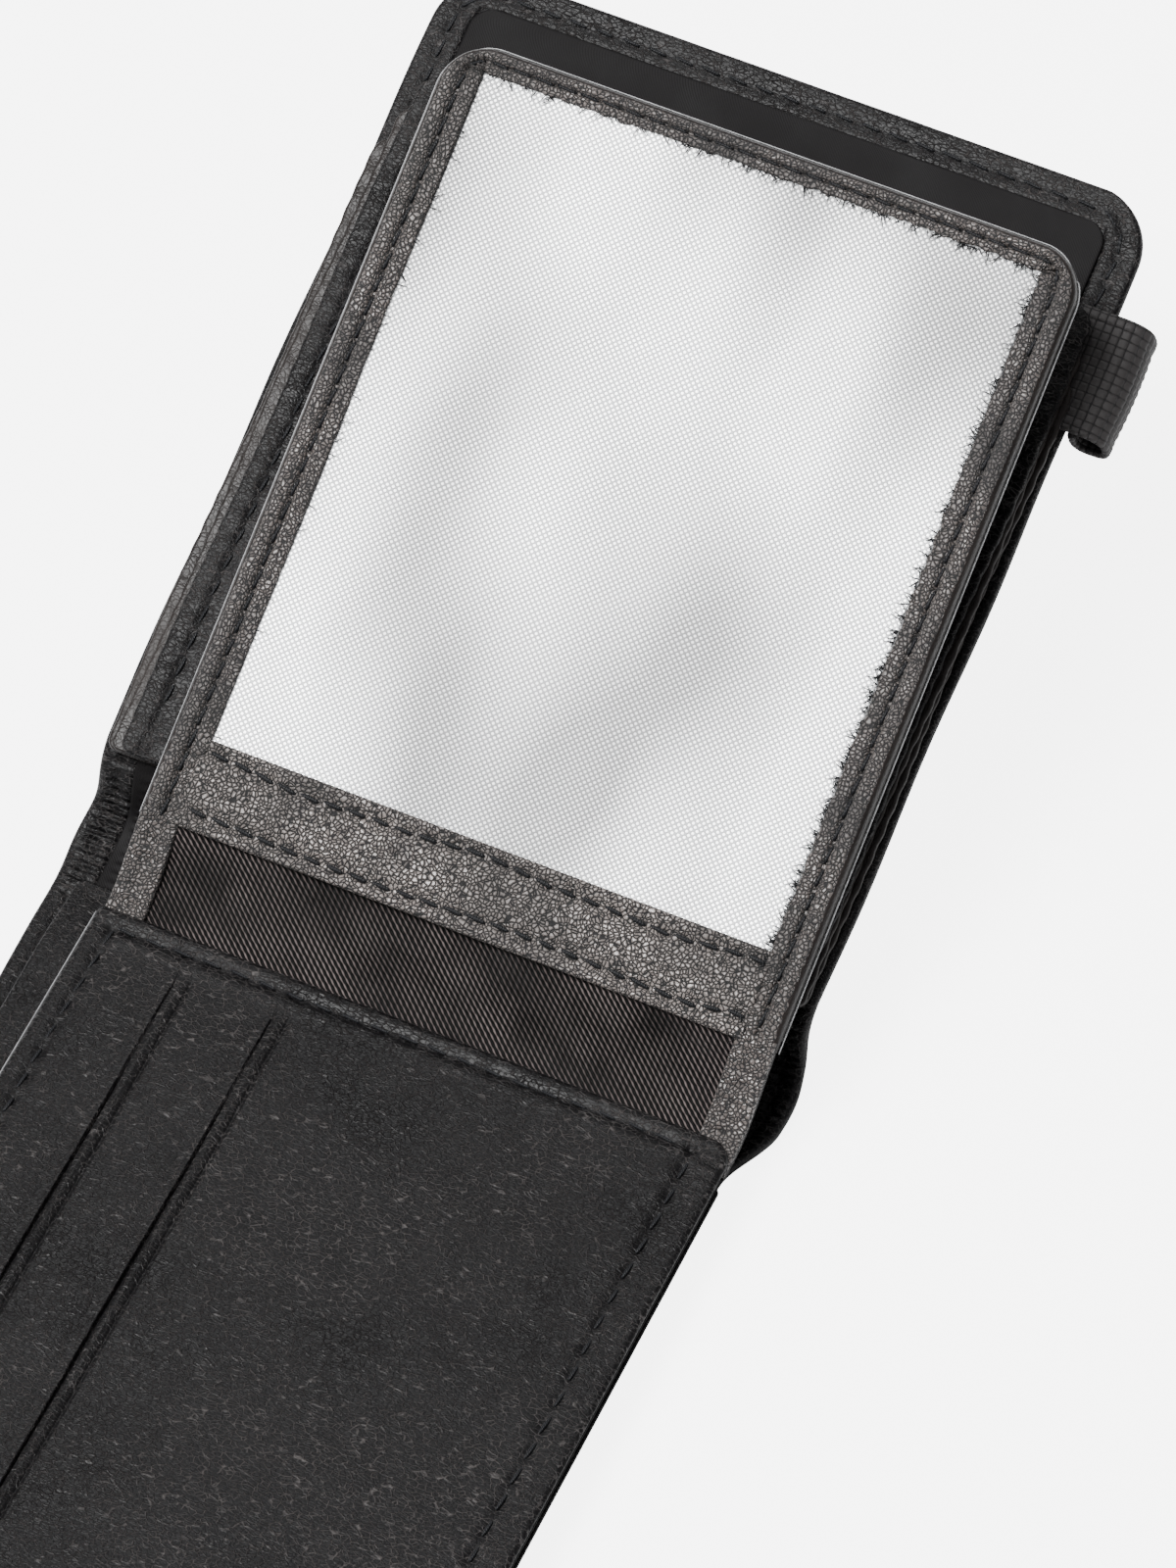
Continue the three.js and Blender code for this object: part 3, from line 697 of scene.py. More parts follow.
def bend_at_second_fold(piece):
    """The piece's transform is baked into its mesh."""
    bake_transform(piece)


# ---- The cover and its lining ----

def spine_gathers(x, s, to_edge):
    """The inside of the round is gathered: short waves along it, strongest by the edges."""
    inside = smooth_step(50.0, 55.0, s) * (1.0 - smooth_step(PANEL_START + 2.0, PANEL_START + 6.0, s))
    by_edge = 0.25 + 0.75 * smooth_step(30.0, 46.0, np.abs(x))
    wave = np.sin(2.0 * np.pi * s / 1.35 + 0.9 * np.sin(x / 3.1)) * (0.6 + 0.4 * unevenness(x, s, 5.0, 8))
    return 0.34 * inside * by_edge * wave * smooth_step(0.7, 2.0, to_edge)


def drawn_in(x, s):
    """How far the left panel's closed side is pulled in: 3.3 mm at its edge, fading before the spine."""
    return -3.3 * smooth_step(22.0, 47.0, x) * (1.0 - smooth_step(47.0, 57.0, s))


def cover_shift(x, s, to_edge):
    """The spine's round sags a little towards the open side and stands out past the edges.

    The left panel's closed side is drawn in by 3.3 mm, where its layers are sewn tight, and the edges wander.
    """
    along_spine = hump(s, 60.0, 5.5)
    sag = -0.35 * along_spine * smooth_step(20.0, -47.0, x)
    wander = 0.18 * np.sin(s / 6.3) * np.sign(x) * smooth_step(30.0, 47.0, np.abs(x))
    bulge = 0.8 * smooth_step(36.0, 47.0, np.abs(x)) * hump(s, 61.0, 5.0) * np.sign(x)
    return wander + drawn_in(x, s) + bulge, sag


def cover_relief(x, s, to_edge):
    """The turned-in edge stands up 5 mm wide, its stitches are sunk, and the spine's round is gathered."""
    turned = 0.3 * (1.0 - smooth_step(4.6, 5.2, to_edge))
    row = pucker(to_edge - COVER_ROW, x + s, STITCH_PITCH, 0.3)
    return turned + row + 0.06 * unevenness(x, s, 7.0, 3) + spine_gathers(x, s, to_edge)


def cover_outside(x, s, to_edge):
    """The outside has only the sunk row of stitches and a soft unevenness."""
    return pucker(to_edge - COVER_ROW, x + s, STITCH_PITCH, 0.22) + 0.05 * unevenness(x, s, 9.0, 12)


def cover_piece(name, span, corners, cut):
    """One stretch of the hide with its turned edge, gathers at the spine and rolled rim."""

    bands = [e for d in (1.9, 2.3, 2.8, 3.3, 3.7, 4.6, 4.9, 5.2) for e in (-HALF_COVER + d, HALF_COVER - d)]
    folds = tuple(np.arange(50.0, PANEL_START + 7.0, 0.3))
    return panel(name, SMOOTH, COVER_PATH, (-HALF_COVER, HALF_COVER), span, (-0.6, 0.6), 0.6, corners, cut,
                 (1.9, 0.9), bands, folds, cover_relief, cover_shift, cover_outside)


def cover():
    """The outer hide in two stretches that meet in the middle of the spine."""
    left = cover_piece("cover_hide_left", (LEFT_END, SPINE_MIDDLE), (8, 8, 0, 0), (False, True))
    right = cover_piece("cover_hide_right", (SPINE_MIDDLE, COVER_END - 1.0), (0, 0, 8, 8), (True, False))
    bend_at_first_fold(left)
    bend_at_second_fold(right)
    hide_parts("outer_cover_left", "spine_cover")
    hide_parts("outer_cover_right")


def lining_piece(name, span, corners, cut):
    """Thin cloth just inside the hide, slightly loose over the spine."""
    def relief(x, s, to_edge):
        return 0.10 * unevenness(x, s, 9.0, 21) + 0.8 * spine_gathers(x, s, to_edge)
    return panel(name, LINING, COVER_PATH, (-LINING_HALF, LINING_HALF), span, (0.72, 1.02), 0.3, corners, cut,
                 (2.6, 1.6), (), tuple(np.arange(50.0, PANEL_START + 6.0, 0.34)), relief)


def cover_lining():
    """The lining in two stretches that meet in the middle of the spine."""
    start, end = -49.83, PANEL_START + 107.4
    left = lining_piece("cover_lining_cloth_left", (start, SPINE_MIDDLE), (3, 3, 0, 0), (False, True))
    right = lining_piece("cover_lining_cloth_right", (SPINE_MIDDLE, end), (0, 0, 3, 3), (True, False))
    bend_at_first_fold(left)
    bend_at_second_fold(right)
    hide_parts("cover_lining_left", "spine_lining")
    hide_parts("cover_lining_right")


def cover_row(near, far):
    """Dense x and s of a row 2.8 mm in from the cover's outline: up one side, round the corners and down."""
    right, top = HALF_COVER - COVER_ROW, far - COVER_ROW
    left = -right
    radius = COVER_CORNER - COVER_ROW
    a = np.linspace(0.0, math.pi / 2, 14)
    up = np.linspace(near, top - radius, 160)
    x = np.concatenate([np.full(160, left), left + radius - radius * np.cos(a),
                        np.linspace(left + radius, right - radius, 120),
                        right - radius + radius * np.sin(a), np.full(160, right)])
    s = np.concatenate([up, top - radius + radius * np.sin(a), np.full(120, top),
                        top - radius + radius * np.cos(a), up[::-1]])
    return x, s


def cover_stitch_rows(side, x, s):
    """The stitches of one panel of the cover, on both of its faces."""
    inner = stitch_row(COVER_PATH, x, s, 0.0 * s + 0.74)
    outer = stitch_row(COVER_PATH, x, s, 0.0 * s - 0.5)
    piece = stitches(f"cover_stitches_{side}", [inner, outer], THREAD)
    fit(piece, f"{side}_panel", "seam_thread", f"cover_seam_thread_{side}")


def cover_stitches():
    """Rows 2.8 mm in from the cover's edges; the left panel's row starts from its own far end."""
    cover_stitch_rows("right", *cover_row(PANEL_START + 5.0, COVER_END - 1.0))
    x, s = cover_row(-50.0, -LEFT_END)
    cover_stitch_rows("left", x + drawn_in(x, -s), -s)


# ---- Left panel ----

def note_divider():
    """The sheet between the notes and the cards, its free edge turned, dipping towards the fold."""
    def shift(x, s, to_edge):
        pulled = -2.3 * smooth_step(20.0, 45.0, x)
        return pulled, -0.9 * smooth_step(44.0, 54.0, s) + 0.12 * unevenness(x, s, 16.0, 31)

    def relief(x, s, to_edge):
        turned = 0.14 * (1.0 - smooth_step(3.2, 3.8, to_edge))
        return turned + pucker(to_edge - 2.2, x + s, STITCH_PITCH, 0.16)
    piece = panel("note_divider_sheet", SMOOTH, FLAT_PATH, (-44.5, 45.7), (-51.83, 54.5), (2.7, 3.45), 0.38,
                  (6, 6, 1.5, 1.5), steps=(2.4, 2.4), more_x=(-42.7, -42.3, -41.9, -41.0), relief=relief,
                  shift=shift)
    fit(piece, "left_panel", "smooth_leather", "note_divider")


def card_backing():
    """The plain sheet that closes the card pockets from below."""
    piece = panel("card_backing_sheet", SMOOTH, FLAT_PATH, CARD_SIDES, (-50.83, 44.53), (4.3, 4.85), 0.28,
                  (6, 6, 1, 1), relief=uneven(0.05, 11.0, 33))
    fit(piece, "left_panel", "smooth_leather", "card_panel_backing")


def card_linings():
    """Two cloth pocket linings under the slits, each lying a little loose."""
    for number, left, low in ((1, -26.65, 5.9), (2, -13.65, 5.2)):
        piece = panel(f"card_lining_cloth_{number}", LINING, FLAT_PATH, (left, 45.45), (-46.33, 44.53),
                      (low, low + 0.36), 0.18, (2, 2, 1, 1), relief=uneven(0.05, 9.0, 40 + number))
        fit(piece, "left_panel", "lining_cloth", f"card_pocket_lining_{number}")


def card_relief(x, s, to_edge):
    """The card panel's face.

    Edges are turned and swell slightly, three rows of stitches are sunk, the two slits are long lens-shaped
    cuts with a lip on their closed side and a pressed crease 2 mm away, and the rest is softly uneven.
    """
    lift = 0.10 * unevenness(x, s, 24.0, 51) + 0.05 * unevenness(x, s, 6.0, 52)
    between_sides = smooth_step(-36.5, -35.0, x) * (1 - smooth_step(40.6, 41.8, x))
    short_of_fold = 1.0 - smooth_step(46.0, 47.2, s)
    lift = lift + pucker(CARD_FOLD_ROW - s, x, 3.75, 0.5) * between_sides
    lift = lift + pucker(x - CARD_CLOSED_ROW, s, 3.9, 0.34) * short_of_fold
    lift = lift + pucker(x - CARD_OPEN_ROW, s, 3.8, 0.34) * short_of_fold
    from_fold = CARD_FOLD_EDGE - s
    lift = lift + (0.20 * hump(from_fold, 1.35, 1.0) + 0.10 * hump(from_fold, 4.1, 0.9))
    band = smooth_step(41.7, 42.6, x)
    lift = lift + band * (0.05 * np.sin(2.0 * np.pi * s / 1.7 + 1.3 * np.sin(s / 3.0)) - 0.08)
    for slit in SLITS:
        inside = smooth_step(-46.0, -40.0, s) * (1.0 - smooth_step(41.5, 44.6, s))
        bow = 0.25 * np.sin((s + 20.0) / 23.0)
        opening = 0.07 + 0.15 * inside * np.sin(np.clip((s + 46.0) / 91.0, 0.0, 1.0) * np.pi) ** 2
        cut = np.exp(-np.abs((x - slit - bow) / opening) ** 3)
        lift = lift - 0.75 * inside * cut
        lift = lift + 0.16 * inside * hump(x, slit + bow + 0.9, 0.5)
        lift = lift - 0.20 * inside * hump(x, slit + bow + 1.95, 0.22)
        lift = lift - 0.10 * inside * hump(x, slit + bow - 1.5, 0.9)
    return lift


def card_panel():
    """The top sheet of the left side, with two card slits."""
    places = [slit + d for slit in SLITS for d in np.arange(-1.6, 3.0, 0.11)]
    places += [CARD_CLOSED_ROW + d for d in np.arange(-1.6, 2.2, 0.3)]
    places += [CARD_OPEN_ROW + d for d in np.arange(-1.5, 1.6, 0.3)]
    fold = [CARD_FOLD_ROW + d for d in np.arange(-1.8, 2.4, 0.2)]
    piece = panel("card_panel_sheet", SMOOTH, FLAT_PATH, CARD_SIDES, (-50.83, CARD_FOLD_EDGE), (6.62, 7.85),
                  0.85, (8, 8, 1.2, 3.4), steps=(1.3, 0.62), more_x=places, more_s=fold, relief=card_relief)
    fit(piece, "left_panel", "smooth_leather", "card_panel")


def card_stitches():
    """Three rows: along the fold edge, the closed side and the open side."""
    x = np.linspace(CARD_OPEN_ROW, CARD_CLOSED_ROW, 200)
    s = np.linspace(-44.5, 47.4, 200)
    wave = 0.10 * np.sin(x / 4.0)
    fold = stitch_row(FLAT_PATH, x, CARD_FOLD_ROW + wave, 0.0 * x + 7.66, 3.75)
    closed = stitch_row(FLAT_PATH, CARD_CLOSED_ROW + 0.12 * np.sin(s / 5.0), s, 0.0 * s + 7.68, 3.9)
    open_side = stitch_row(FLAT_PATH, CARD_OPEN_ROW + 0.12 * np.sin(s / 6.0), s, 0.0 * s + 7.68, 3.8)
    for name, row in (("fold", fold), ("closed_side", closed), ("open_side", open_side)):
        piece = stitches(f"card_stitches_{name}", [row], THREAD, 2.45, 0.5)
        fit(piece, "left_panel", "seam_thread", f"card_panel_seam_thread_{name}")


# ---- Right panel ----

def pocket_sheet(name, node, left, right, far, faces, seed, material):
    """A pocket layer: its side edges are pulled in by every stitch and swell between them."""
    def shift(x, s, to_edge):
        by_side = smooth_step(6.0, 0.0, np.minimum(np.abs(x - left), np.abs(right - x)))
        each_stitch = np.cos(2.0 * np.pi * s / STITCH_PITCH + seed)
        pull = 0.07 * each_stitch * by_side + 0.22 * by_side * np.sin(s / 9.0 + seed)
        swell = 0.06 * by_side * each_stitch + 0.10 * unevenness(x, s, 18.0, seed)
        return -np.sign(x) * pull, swell

    def relief(x, s, to_edge):
        side = np.minimum(x - left, right - x)
        row = pucker(side - 2.9, s, STITCH_PITCH, 0.34)
        turned = 0.22 * (1.0 - smooth_step(2.2, 3.6, to_edge))
        return row + turned + 0.04 * unevenness(x, s, 5.0, seed + 3)
    groove = (1.7, 2.2, 2.6, 2.9, 3.2, 3.6)
    rows = [left + d for d in groove] + [left + 4.2] + [right - d for d in groove]
    piece = panel(name, material, RIGHT_PATH, (left, right), (2.0, far), faces, 0.42, (1.5, 1.5, 2.2, 2.2),
                  steps=(2.6, 0.8), more_x=rows, relief=relief, shift=shift)
    fit(piece, "right_panel", "smooth_leather", node)


def right_pocket():
    """Two slot layers and the pocket panel, each a little shorter and narrower than the one below."""
    pocket_sheet("slot_layer_low", "right_slot_layer_2", -46.9, 46.6, 86.9, (1.15, 1.75), 2, TURNED)
    pocket_sheet("slot_layer_high", "right_slot_layer_1", -45.9, 46.2, 91.4, (1.8, 2.35), 5, TURNED)
    pocket_sheet("pocket_panel_sheet", "right_pocket_panel", -44.6, 45.7, 95.9, (2.4, 3.05), 9, SMOOTH)


def pocket_stitches():
    """A row down each side of the pocket panel."""
    s = np.linspace(9.0, 94.5, 200)
    left = stitch_row(RIGHT_PATH, -41.7 + 0.1 * np.sin(s / 5.0), s, 0.0 * s + 2.92)
    right = stitch_row(RIGHT_PATH, 42.8 + 0.1 * np.sin(s / 6.0), s, 0.0 * s + 2.92)
    piece = stitches("pocket_stitches", [left, right], THREAD, 2.5, 0.5)
    fit(piece, "right_panel", "seam_thread")


def loop_curve():
    """The webbing's middle line in X and w: over the cover, out, round two corners and back under it."""
    out = np.array([[43.5, 1.28], [46.6, 1.28], [48.6, 1.24]])
    first = bezier((49.2, 1.22), (51.0, 1.1), (52.1, 0.2), (52.25, -1.2), 14)
    second = bezier((52.3, -2.4), (52.3, -4.2), (51.8, -5.0), (50.4, -5.1), 12)
    back = bezier((49.6, -5.1), (48.5, -5.0), (48.0, -4.2), (47.9, -3.0), 12)
    up = np.array([[47.9, -1.0]])
    return np.vstack([out, first, second, back, up])


def pen_loop():
    """Elastic webbing carried along the loop's line, thicker at its selvedges, with ribs round the loop."""
    line = loop_curve()
    run = run_along(line[:, 0], line[:, 1])
    t = np.linspace(0.0, run[-1], 110)
    middle = np.stack([np.interp(t, run, line[:, 0]), np.interp(t, run, line[:, 1])], -1)
    slope = np.gradient(middle, t, axis=0)
    slope /= np.linalg.norm(slope, axis=1)[:, None]
    off = np.stack([-slope[:, 1], slope[:, 0]], -1)
    start, end = LOOP_SPAN
    v, t_grid = np.meshgrid(stations(start, end, 0.22, EDGE_STEPS[:5]), t)
    to_edge = np.minimum(v - start, end - v)
    selvedge = 0.12 * (1.0 - smooth_step(1.1, 1.7, to_edge))
    ribs = 0.05 * np.cos(2.0 * np.pi * v / 1.15) * smooth_step(1.2, 1.8, to_edge)
    knit = 0.035 * np.cos(2.0 * np.pi * t_grid / 1.1)
    half = (0.36 + selvedge + ribs + knit) * round_edge(to_edge, 0.4)
    skew = 0.4 * np.sin((v - start) / (end - start) * np.pi)

    def side(sign):
        x = middle[:, 0:1] + sign * half * off[:, 0:1] + skew * smooth_step(48.0, 53.0, middle[:, 0:1])
        w = middle[:, 1:2] + sign * half * off[:, 1:2]
        return np.stack([x, *right_point(v, w)], -1)
    piece = closed_strip("pen_loop_webbing", side(-1.0), side(1.0), np.stack([t_grid, v], -1), WEBBING)
    fit(piece, "right_panel", "elastic_webbing", "pen_loop")


# ---- Document leaf ----

def leaf_back():
    """The leaf's back sheet, a hair larger than the frame, so that its edge shows as a thin second line."""
    grow = 0.3
    piece = panel("leaf_back_sheet", SMOOTH, LEAF_PATH, (LEAF_LEFT - grow, LEAF_RIGHT + grow),
                  (2.6, LEAF_END + grow), (0.15, 0.95), 0.4, (2.2, 2.2, 6.3, 6.3), steps=(2.4, 2.4),
                  relief=uneven(0.04, 14.0, 61))
    fit(piece, "document_leaf", "smooth_leather", "leaf_back_panel")


def frame_outline():
    """The frame's outer run and inner run, x and v of each, and how far round a corner each place is, 0 to 1.

    Up the open side, round a 6 mm corner, along the end, round the other corner and down the closed side.
    """
    count = 330
    radius = 6.0
    low = 2.35
    a = np.linspace(0.0, math.pi / 2, 26)
    up = np.linspace(low, LEAF_END - radius, count)
    over = np.linspace(LEAF_LEFT + radius, LEAF_RIGHT - radius, count)[1:-1]
    x = np.concatenate([np.full(count, LEAF_LEFT), LEAF_LEFT + radius - radius * np.cos(a[1:]), over,
                        LEAF_RIGHT - radius + radius * np.sin(a), np.full(count - 1, LEAF_RIGHT)])
    v = np.concatenate([up, LEAF_END - radius + radius * np.sin(a[1:]), np.full(len(over), LEAF_END),
                        LEAF_END - radius + radius * np.cos(a), up[::-1][1:]])
    inner_x = np.clip(x, LEAF_LEFT + 5.0, LEAF_RIGHT - 5.0)
    inner_v = np.minimum(v, LEAF_END - 3.1)
    turn = np.concatenate([0.0 * up, a[1:] / a[-1], 0.0 * over + 1.0, 1.0 - a / a[-1], 0.0 * up[1:]])
    return x, v, inner_x, inner_v, turn


def frame_binding():
    """The pebbled binding round the window.

    Across the band, height follows: a tight outer roll, a padded swell, the sunk seam at just over half way,
    a flatter inner lip and a raw edge whose line wanders. Between stitches the padding swells, and at the two
    corners it is pleated.
    """
    x, v, inner_x, inner_v, turn = frame_outline()
    run = run_along(x, v)
    width = np.hypot(inner_x - x, inner_v - v)
    c_line = np.array([0.0, 0.012, 0.035, 0.07, 0.12, 0.18, 0.25, 0.32, 0.38, 0.43, 0.47, 0.50,
                       0.53, 0.56, 0.59, 0.63, 0.68, 0.74, 0.80, 0.86, 0.91, 0.95, 0.98, 1.0])
    frayed = 0.30 + 0.70 * smooth_step(0.30 * run[-1], 0.55 * run[-1], run)
    raw = frayed * (0.20 * unevenness(run, 0.0 * run, 2.3, 71) + 0.15 * unevenness(run, 0.0 * run, 0.9, 72))
    reach = (width + raw) / np.maximum(width, 0.1)
    c = c_line[None, :] * np.ones((len(x), 1))
    spread = c * (1.0 + (reach[:, None] - 1.0) * c ** 2)
    px = x[:, None] + (inner_x - x)[:, None] * spread
    pv = v[:, None] + (inner_v - v)[:, None] * spread
    roll = round_edge(c * width[:, None], 0.75)
    swell = 0.28 * np.sin(np.clip(c / 0.5, 0.0, 1.0) * np.pi) ** 0.8
    between = 0.5 - 0.5 * np.cos(2.0 * np.pi * run / FRAME_PITCH)[:, None]
    seam = -0.62 * hump(c, FRAME_SEAM, 0.085) * (0.7 + 0.3 * (1.0 - between))
    lip = -0.22 * smooth_step(0.62, 0.98, c)
    ripple = 0.13 * (between - 0.5) * hump(c, 0.42, 0.16) + 0.06 * unevenness(px, pv, 4.5, 73)
    arc = np.cos(2.0 * np.pi * run / 1.7)[:, None]
    at_corner = np.sin(np.pi * np.clip(turn, 0.0, 1.0))[:, None]
    pleats = 0.42 * at_corner * arc * smooth_step(0.1, 0.3, c)
    near_low = smooth_step(16.0, 12.0, pv)
    creases = 0.12 * near_low * np.sin(2.0 * np.pi * pv / 1.9 + 0.7 * np.sin(px))
    end_drop = smooth_step(0.97, 1.0, c) * 0.45
    thinned = 0.66 + 0.34 * smooth_step(2.0, 6.0, pv)
    height = 1.0 + thinned * roll * (1.45 + swell + seam + lip + ripple + pleats + creases) - end_drop
    top = place(LEAF_PATH, px, pv, height)
    low = 0.98 + 0.55 * smooth_step(0.8, 0.95, c)
    under = place(LEAF_PATH, px, pv, np.minimum(low, height - 0.04))
    flat = np.stack([np.broadcast_to(run[:, None], px.shape), c * 5.0], -1)
    piece = closed_strip("frame_binding", top, under, flat, BINDING)
    fit(piece, "document_leaf", "grain_leather", "leaf_frame")


def frame_rim():
    """The smooth roll outside the padding: a low arch along the frame's outline, with wrinkles across it."""
    x, v, inner_x, inner_v, _ = frame_outline()
    run = run_along(x, v)
    width = np.maximum(np.hypot(inner_x - x, inner_v - v), 0.1)
    in_x, in_v = (inner_x - x) / width, (inner_v - v) / width
    t = np.linspace(0.0, 1.0, 13)[None, :]
    across = -0.22 + 1.75 * t
    px = x[:, None] + in_x[:, None] * across
    pv = v[:, None] + in_v[:, None] * across
    wrinkle = 0.035 * np.sin(2.0 * np.pi * run / 1.1 + 1.2 * np.sin(run / 3.7))[:, None]
    arch = np.sqrt(np.clip(1.0 - (2.0 * t - 1.0) ** 2, 0.0, 1.0))
    height = 1.15 + arch * (1.32 + wrinkle) * (0.62 + 0.38 * smooth_step(2.0, 6.0, pv))
    top = place(LEAF_PATH, px, pv, height)
    under = place(LEAF_PATH, px, pv, 1.1 - 0.2 * arch + 0.0 * px)
    flat = np.stack([np.broadcast_to(run[:, None], px.shape), across + 0.0 * px], -1)
    piece = closed_strip("frame_rim_roll", top, under, flat, TURNED)
    fit(piece, "document_leaf", "smooth_leather")


def edge_line(name, path, x, s, height, body):
    """The pale line on a cut edge, a painted highlight: a thin round bead along it."""
    line = place(path, x, s, height)
    _, _, off_y, off_z = path(s)
    ahead = np.gradient(line, axis=0)
    ahead /= np.linalg.norm(ahead, axis=1)[:, None]
    up = np.stack([0.0 * off_y, off_y, off_z], -1)
    side = np.cross(ahead, up)
    angle = np.arange(6) * math.pi / 3
    ring = line[:, None, :] + 0.08 * (side[:, None, :] * np.cos(angle)[None, :, None]
                                      - up[:, None, :] * np.sin(angle)[None, :, None])
    flat = np.broadcast_to(np.stack([x, s], -1)[:, None, :], (len(x), 6, 2))
    piece = put_mesh(name, ring, ring_faces(len(x), 6), flat, EDGE_HIGHLIGHT)
    fit(piece, body, "smooth_leather")


def edge_lines():
    """Pale lines of painted highlight round the leaf's back sheet and down the card panel's open side."""
    x, v, _, _, _ = frame_outline()
    grow = 0.42
    middle = 0.5 * (LEAF_LEFT + LEAF_RIGHT)
    out_x = x + np.where(x < 0.0, -grow, grow) * (np.abs(x - middle) > 41.0)
    out_v = v + grow * smooth_step(LEAF_END - 3.0, LEAF_END, v)
    edge_line("leaf_edge_line", LEAF_PATH, out_x, out_v, 0.0 * v + 0.78, "document_leaf")
    s = np.linspace(-44.0, 48.0, 120)
    edge_line("card_edge_line", FLAT_PATH, -38.86 + 0.0 * s, s, 7.15 + 0.0 * s, "left_panel")


def frame_row(part):
    """x and v of a row at this part of the band's width."""
    x, v, inner_x, inner_v, _ = frame_outline()
    return x + part * (inner_x - x), v + part * (inner_v - v)


def frame_stitches():
    """Blue-black stitches sunk in the binding's seam, 3 mm apart."""
    x, v = frame_row(FRAME_SEAM)
    row = stitch_row(LEAF_PATH, x, v, 0.0 * v + 2.06, FRAME_PITCH)
    piece = stitches("frame_stitches", [row], THREAD, 2.4, 0.6)
    fit(piece, "document_leaf", "seam_thread", "leaf_frame_seam_thread")


def raw_edge_fibres():
    """Short loose fibres on the binding's raw inner edge, more of them on the closed side."""
    rng = np.random.default_rng(81)
    x, v = frame_row(0.985)
    run = run_along(x, v)
    at = rng.uniform(0.0, 1.0, 620) ** 0.42 * run[-1]
    root_x, root_v = np.interp(at, run, x), np.interp(at, run, v)
    inner_x, inner_v = frame_row(1.4)
    aim_x = np.interp(at, run, inner_x) - root_x
    aim_v = np.interp(at, run, inner_v) - root_v
    size = np.hypot(aim_x, aim_v)
    aim_x, aim_v = aim_x / size, aim_v / size
    lean = rng.normal(0.0, 0.9, len(at))
    dir_x = aim_x - lean * aim_v
    dir_v = aim_v + lean * aim_x
    norm = np.hypot(dir_x, dir_v)
    length = rng.uniform(0.35, 1.0, len(at)) ** 2 * 1.7 + 0.15
    mid_x = root_x + 0.5 * length * dir_x / norm
    mid_v = root_v + 0.5 * length * dir_v / norm
    lift = rng.uniform(2.0, 2.3, len(at))
    centre = place(LEAF_PATH, mid_x, mid_v, lift)
    tip_lift = lift + rng.normal(-0.05, 0.2, len(at))
    tip = place(LEAF_PATH, mid_x + dir_x / norm, mid_v + dir_v / norm, tip_lift)
    up = np.broadcast_to(np.array([0.0, -math.sin(LEAF_SLOPE), math.cos(LEAF_SLOPE)]), centre.shape)
    piece = capsules("raw_edge_fibres", centre, tip - centre, up, length, 0.17, THREAD, 0.7)
    fit(piece, "document_leaf", "seam_thread")


def window_sheet():
    """The window cloth: one stretched sheet with very low broad waves."""
    x, s = np.meshgrid(np.linspace(-33.6, 41.2, 120), np.linspace(12.9, 102.2, 140))
    height = 1.78 + 0.20 * unevenness(x - 0.35 * s, 0.45 * s, 24.0, 91) + 0.02 * unevenness(x, s, 8.0, 92)
    top = place(LEAF_PATH, x, s, height)
    under = place(LEAF_PATH, x, s, height - 0.16)
    piece = closed_strip("window_cloth_sheet", top, under, np.stack([x, s], -1), WINDOW)
    fit(piece, "document_leaf", "window_cloth", "window_mesh")


def window_insert():
    """The white card behind the window cloth."""
    piece = panel("window_insert_card", CARD, LEAF_PATH, (-32.9, 40.5), (14.3, 101.4), (1.05, 1.35), 0.12,
                  (1, 1, 1, 1), steps=(4.0, 4.0), relief=uneven(0.02, 20.0, 93))
    fit(piece, "document_leaf", "white_card", "window_insert")


def strip_rows(x):
    """The two rows of the strip: nearly straight, wandering by half a millimetre."""
    lower = STRIP_ROWS[0] + 0.28 * np.sin(x / 8.0) + 0.9 * smooth_step(33.0, 40.0, x)
    upper = STRIP_ROWS[1] + 0.38 * np.sin(x / 6.5 + 1.0) + 0.15 * np.sin(x / 2.7)
    return lower, upper


def window_strip():
    """The pebbled strip across the window's foot: rolled lower edge, raw upper edge and two sunk rows."""
    def relief(x, s, to_edge):
        lower, upper = strip_rows(x)
        rows = pucker(s - lower, x, STRIP_PITCH, 0.62) + pucker(s - upper, x, STRIP_PITCH, 0.62)
        swell = 0.18 * hump(s, 7.9, 2.6) + 0.10 * hump(s, 2.9, 0.8)
        return rows + swell + 0.07 * unevenness(x, s, 6.0, 101)

    def shift(x, s, to_edge):
        near_low = smooth_step(4.5, 2.3, s)
        return 0.0 * x, 0.12 * near_low * np.sin(x / 11.0)
    places = [STRIP_ROWS[0] + d for d in np.arange(-1.4, 1.6, 0.24)]
    places += [STRIP_ROWS[1] + d for d in np.arange(-1.4, 1.4, 0.24)]
    piece = panel("window_strip_band", GRAIN, LEAF_PATH, (-34.0, 41.6), (2.25, 13.45), (1.62, 2.42), 0.42,
                  steps=(0.55, 0.7), more_s=places, relief=relief, shift=shift)
    fit(piece, "document_leaf", "grain_leather", "window_strip")


def strip_stitches():
    """The strip's two rows, 3.1 mm apart."""
    x = np.linspace(-33.0, 40.4, 260)
    lower, upper = strip_rows(x)
    for name, s in (("lower", lower), ("upper", upper)):
        row = stitch_row(LEAF_PATH, x, s, 0.0 * x + 2.12, STRIP_PITCH)
        piece = stitches(f"strip_stitches_{name}", [row], THREAD, 2.5, 0.62)
        fit(piece, "document_leaf", "seam_thread", f"strip_seam_thread_{name}")


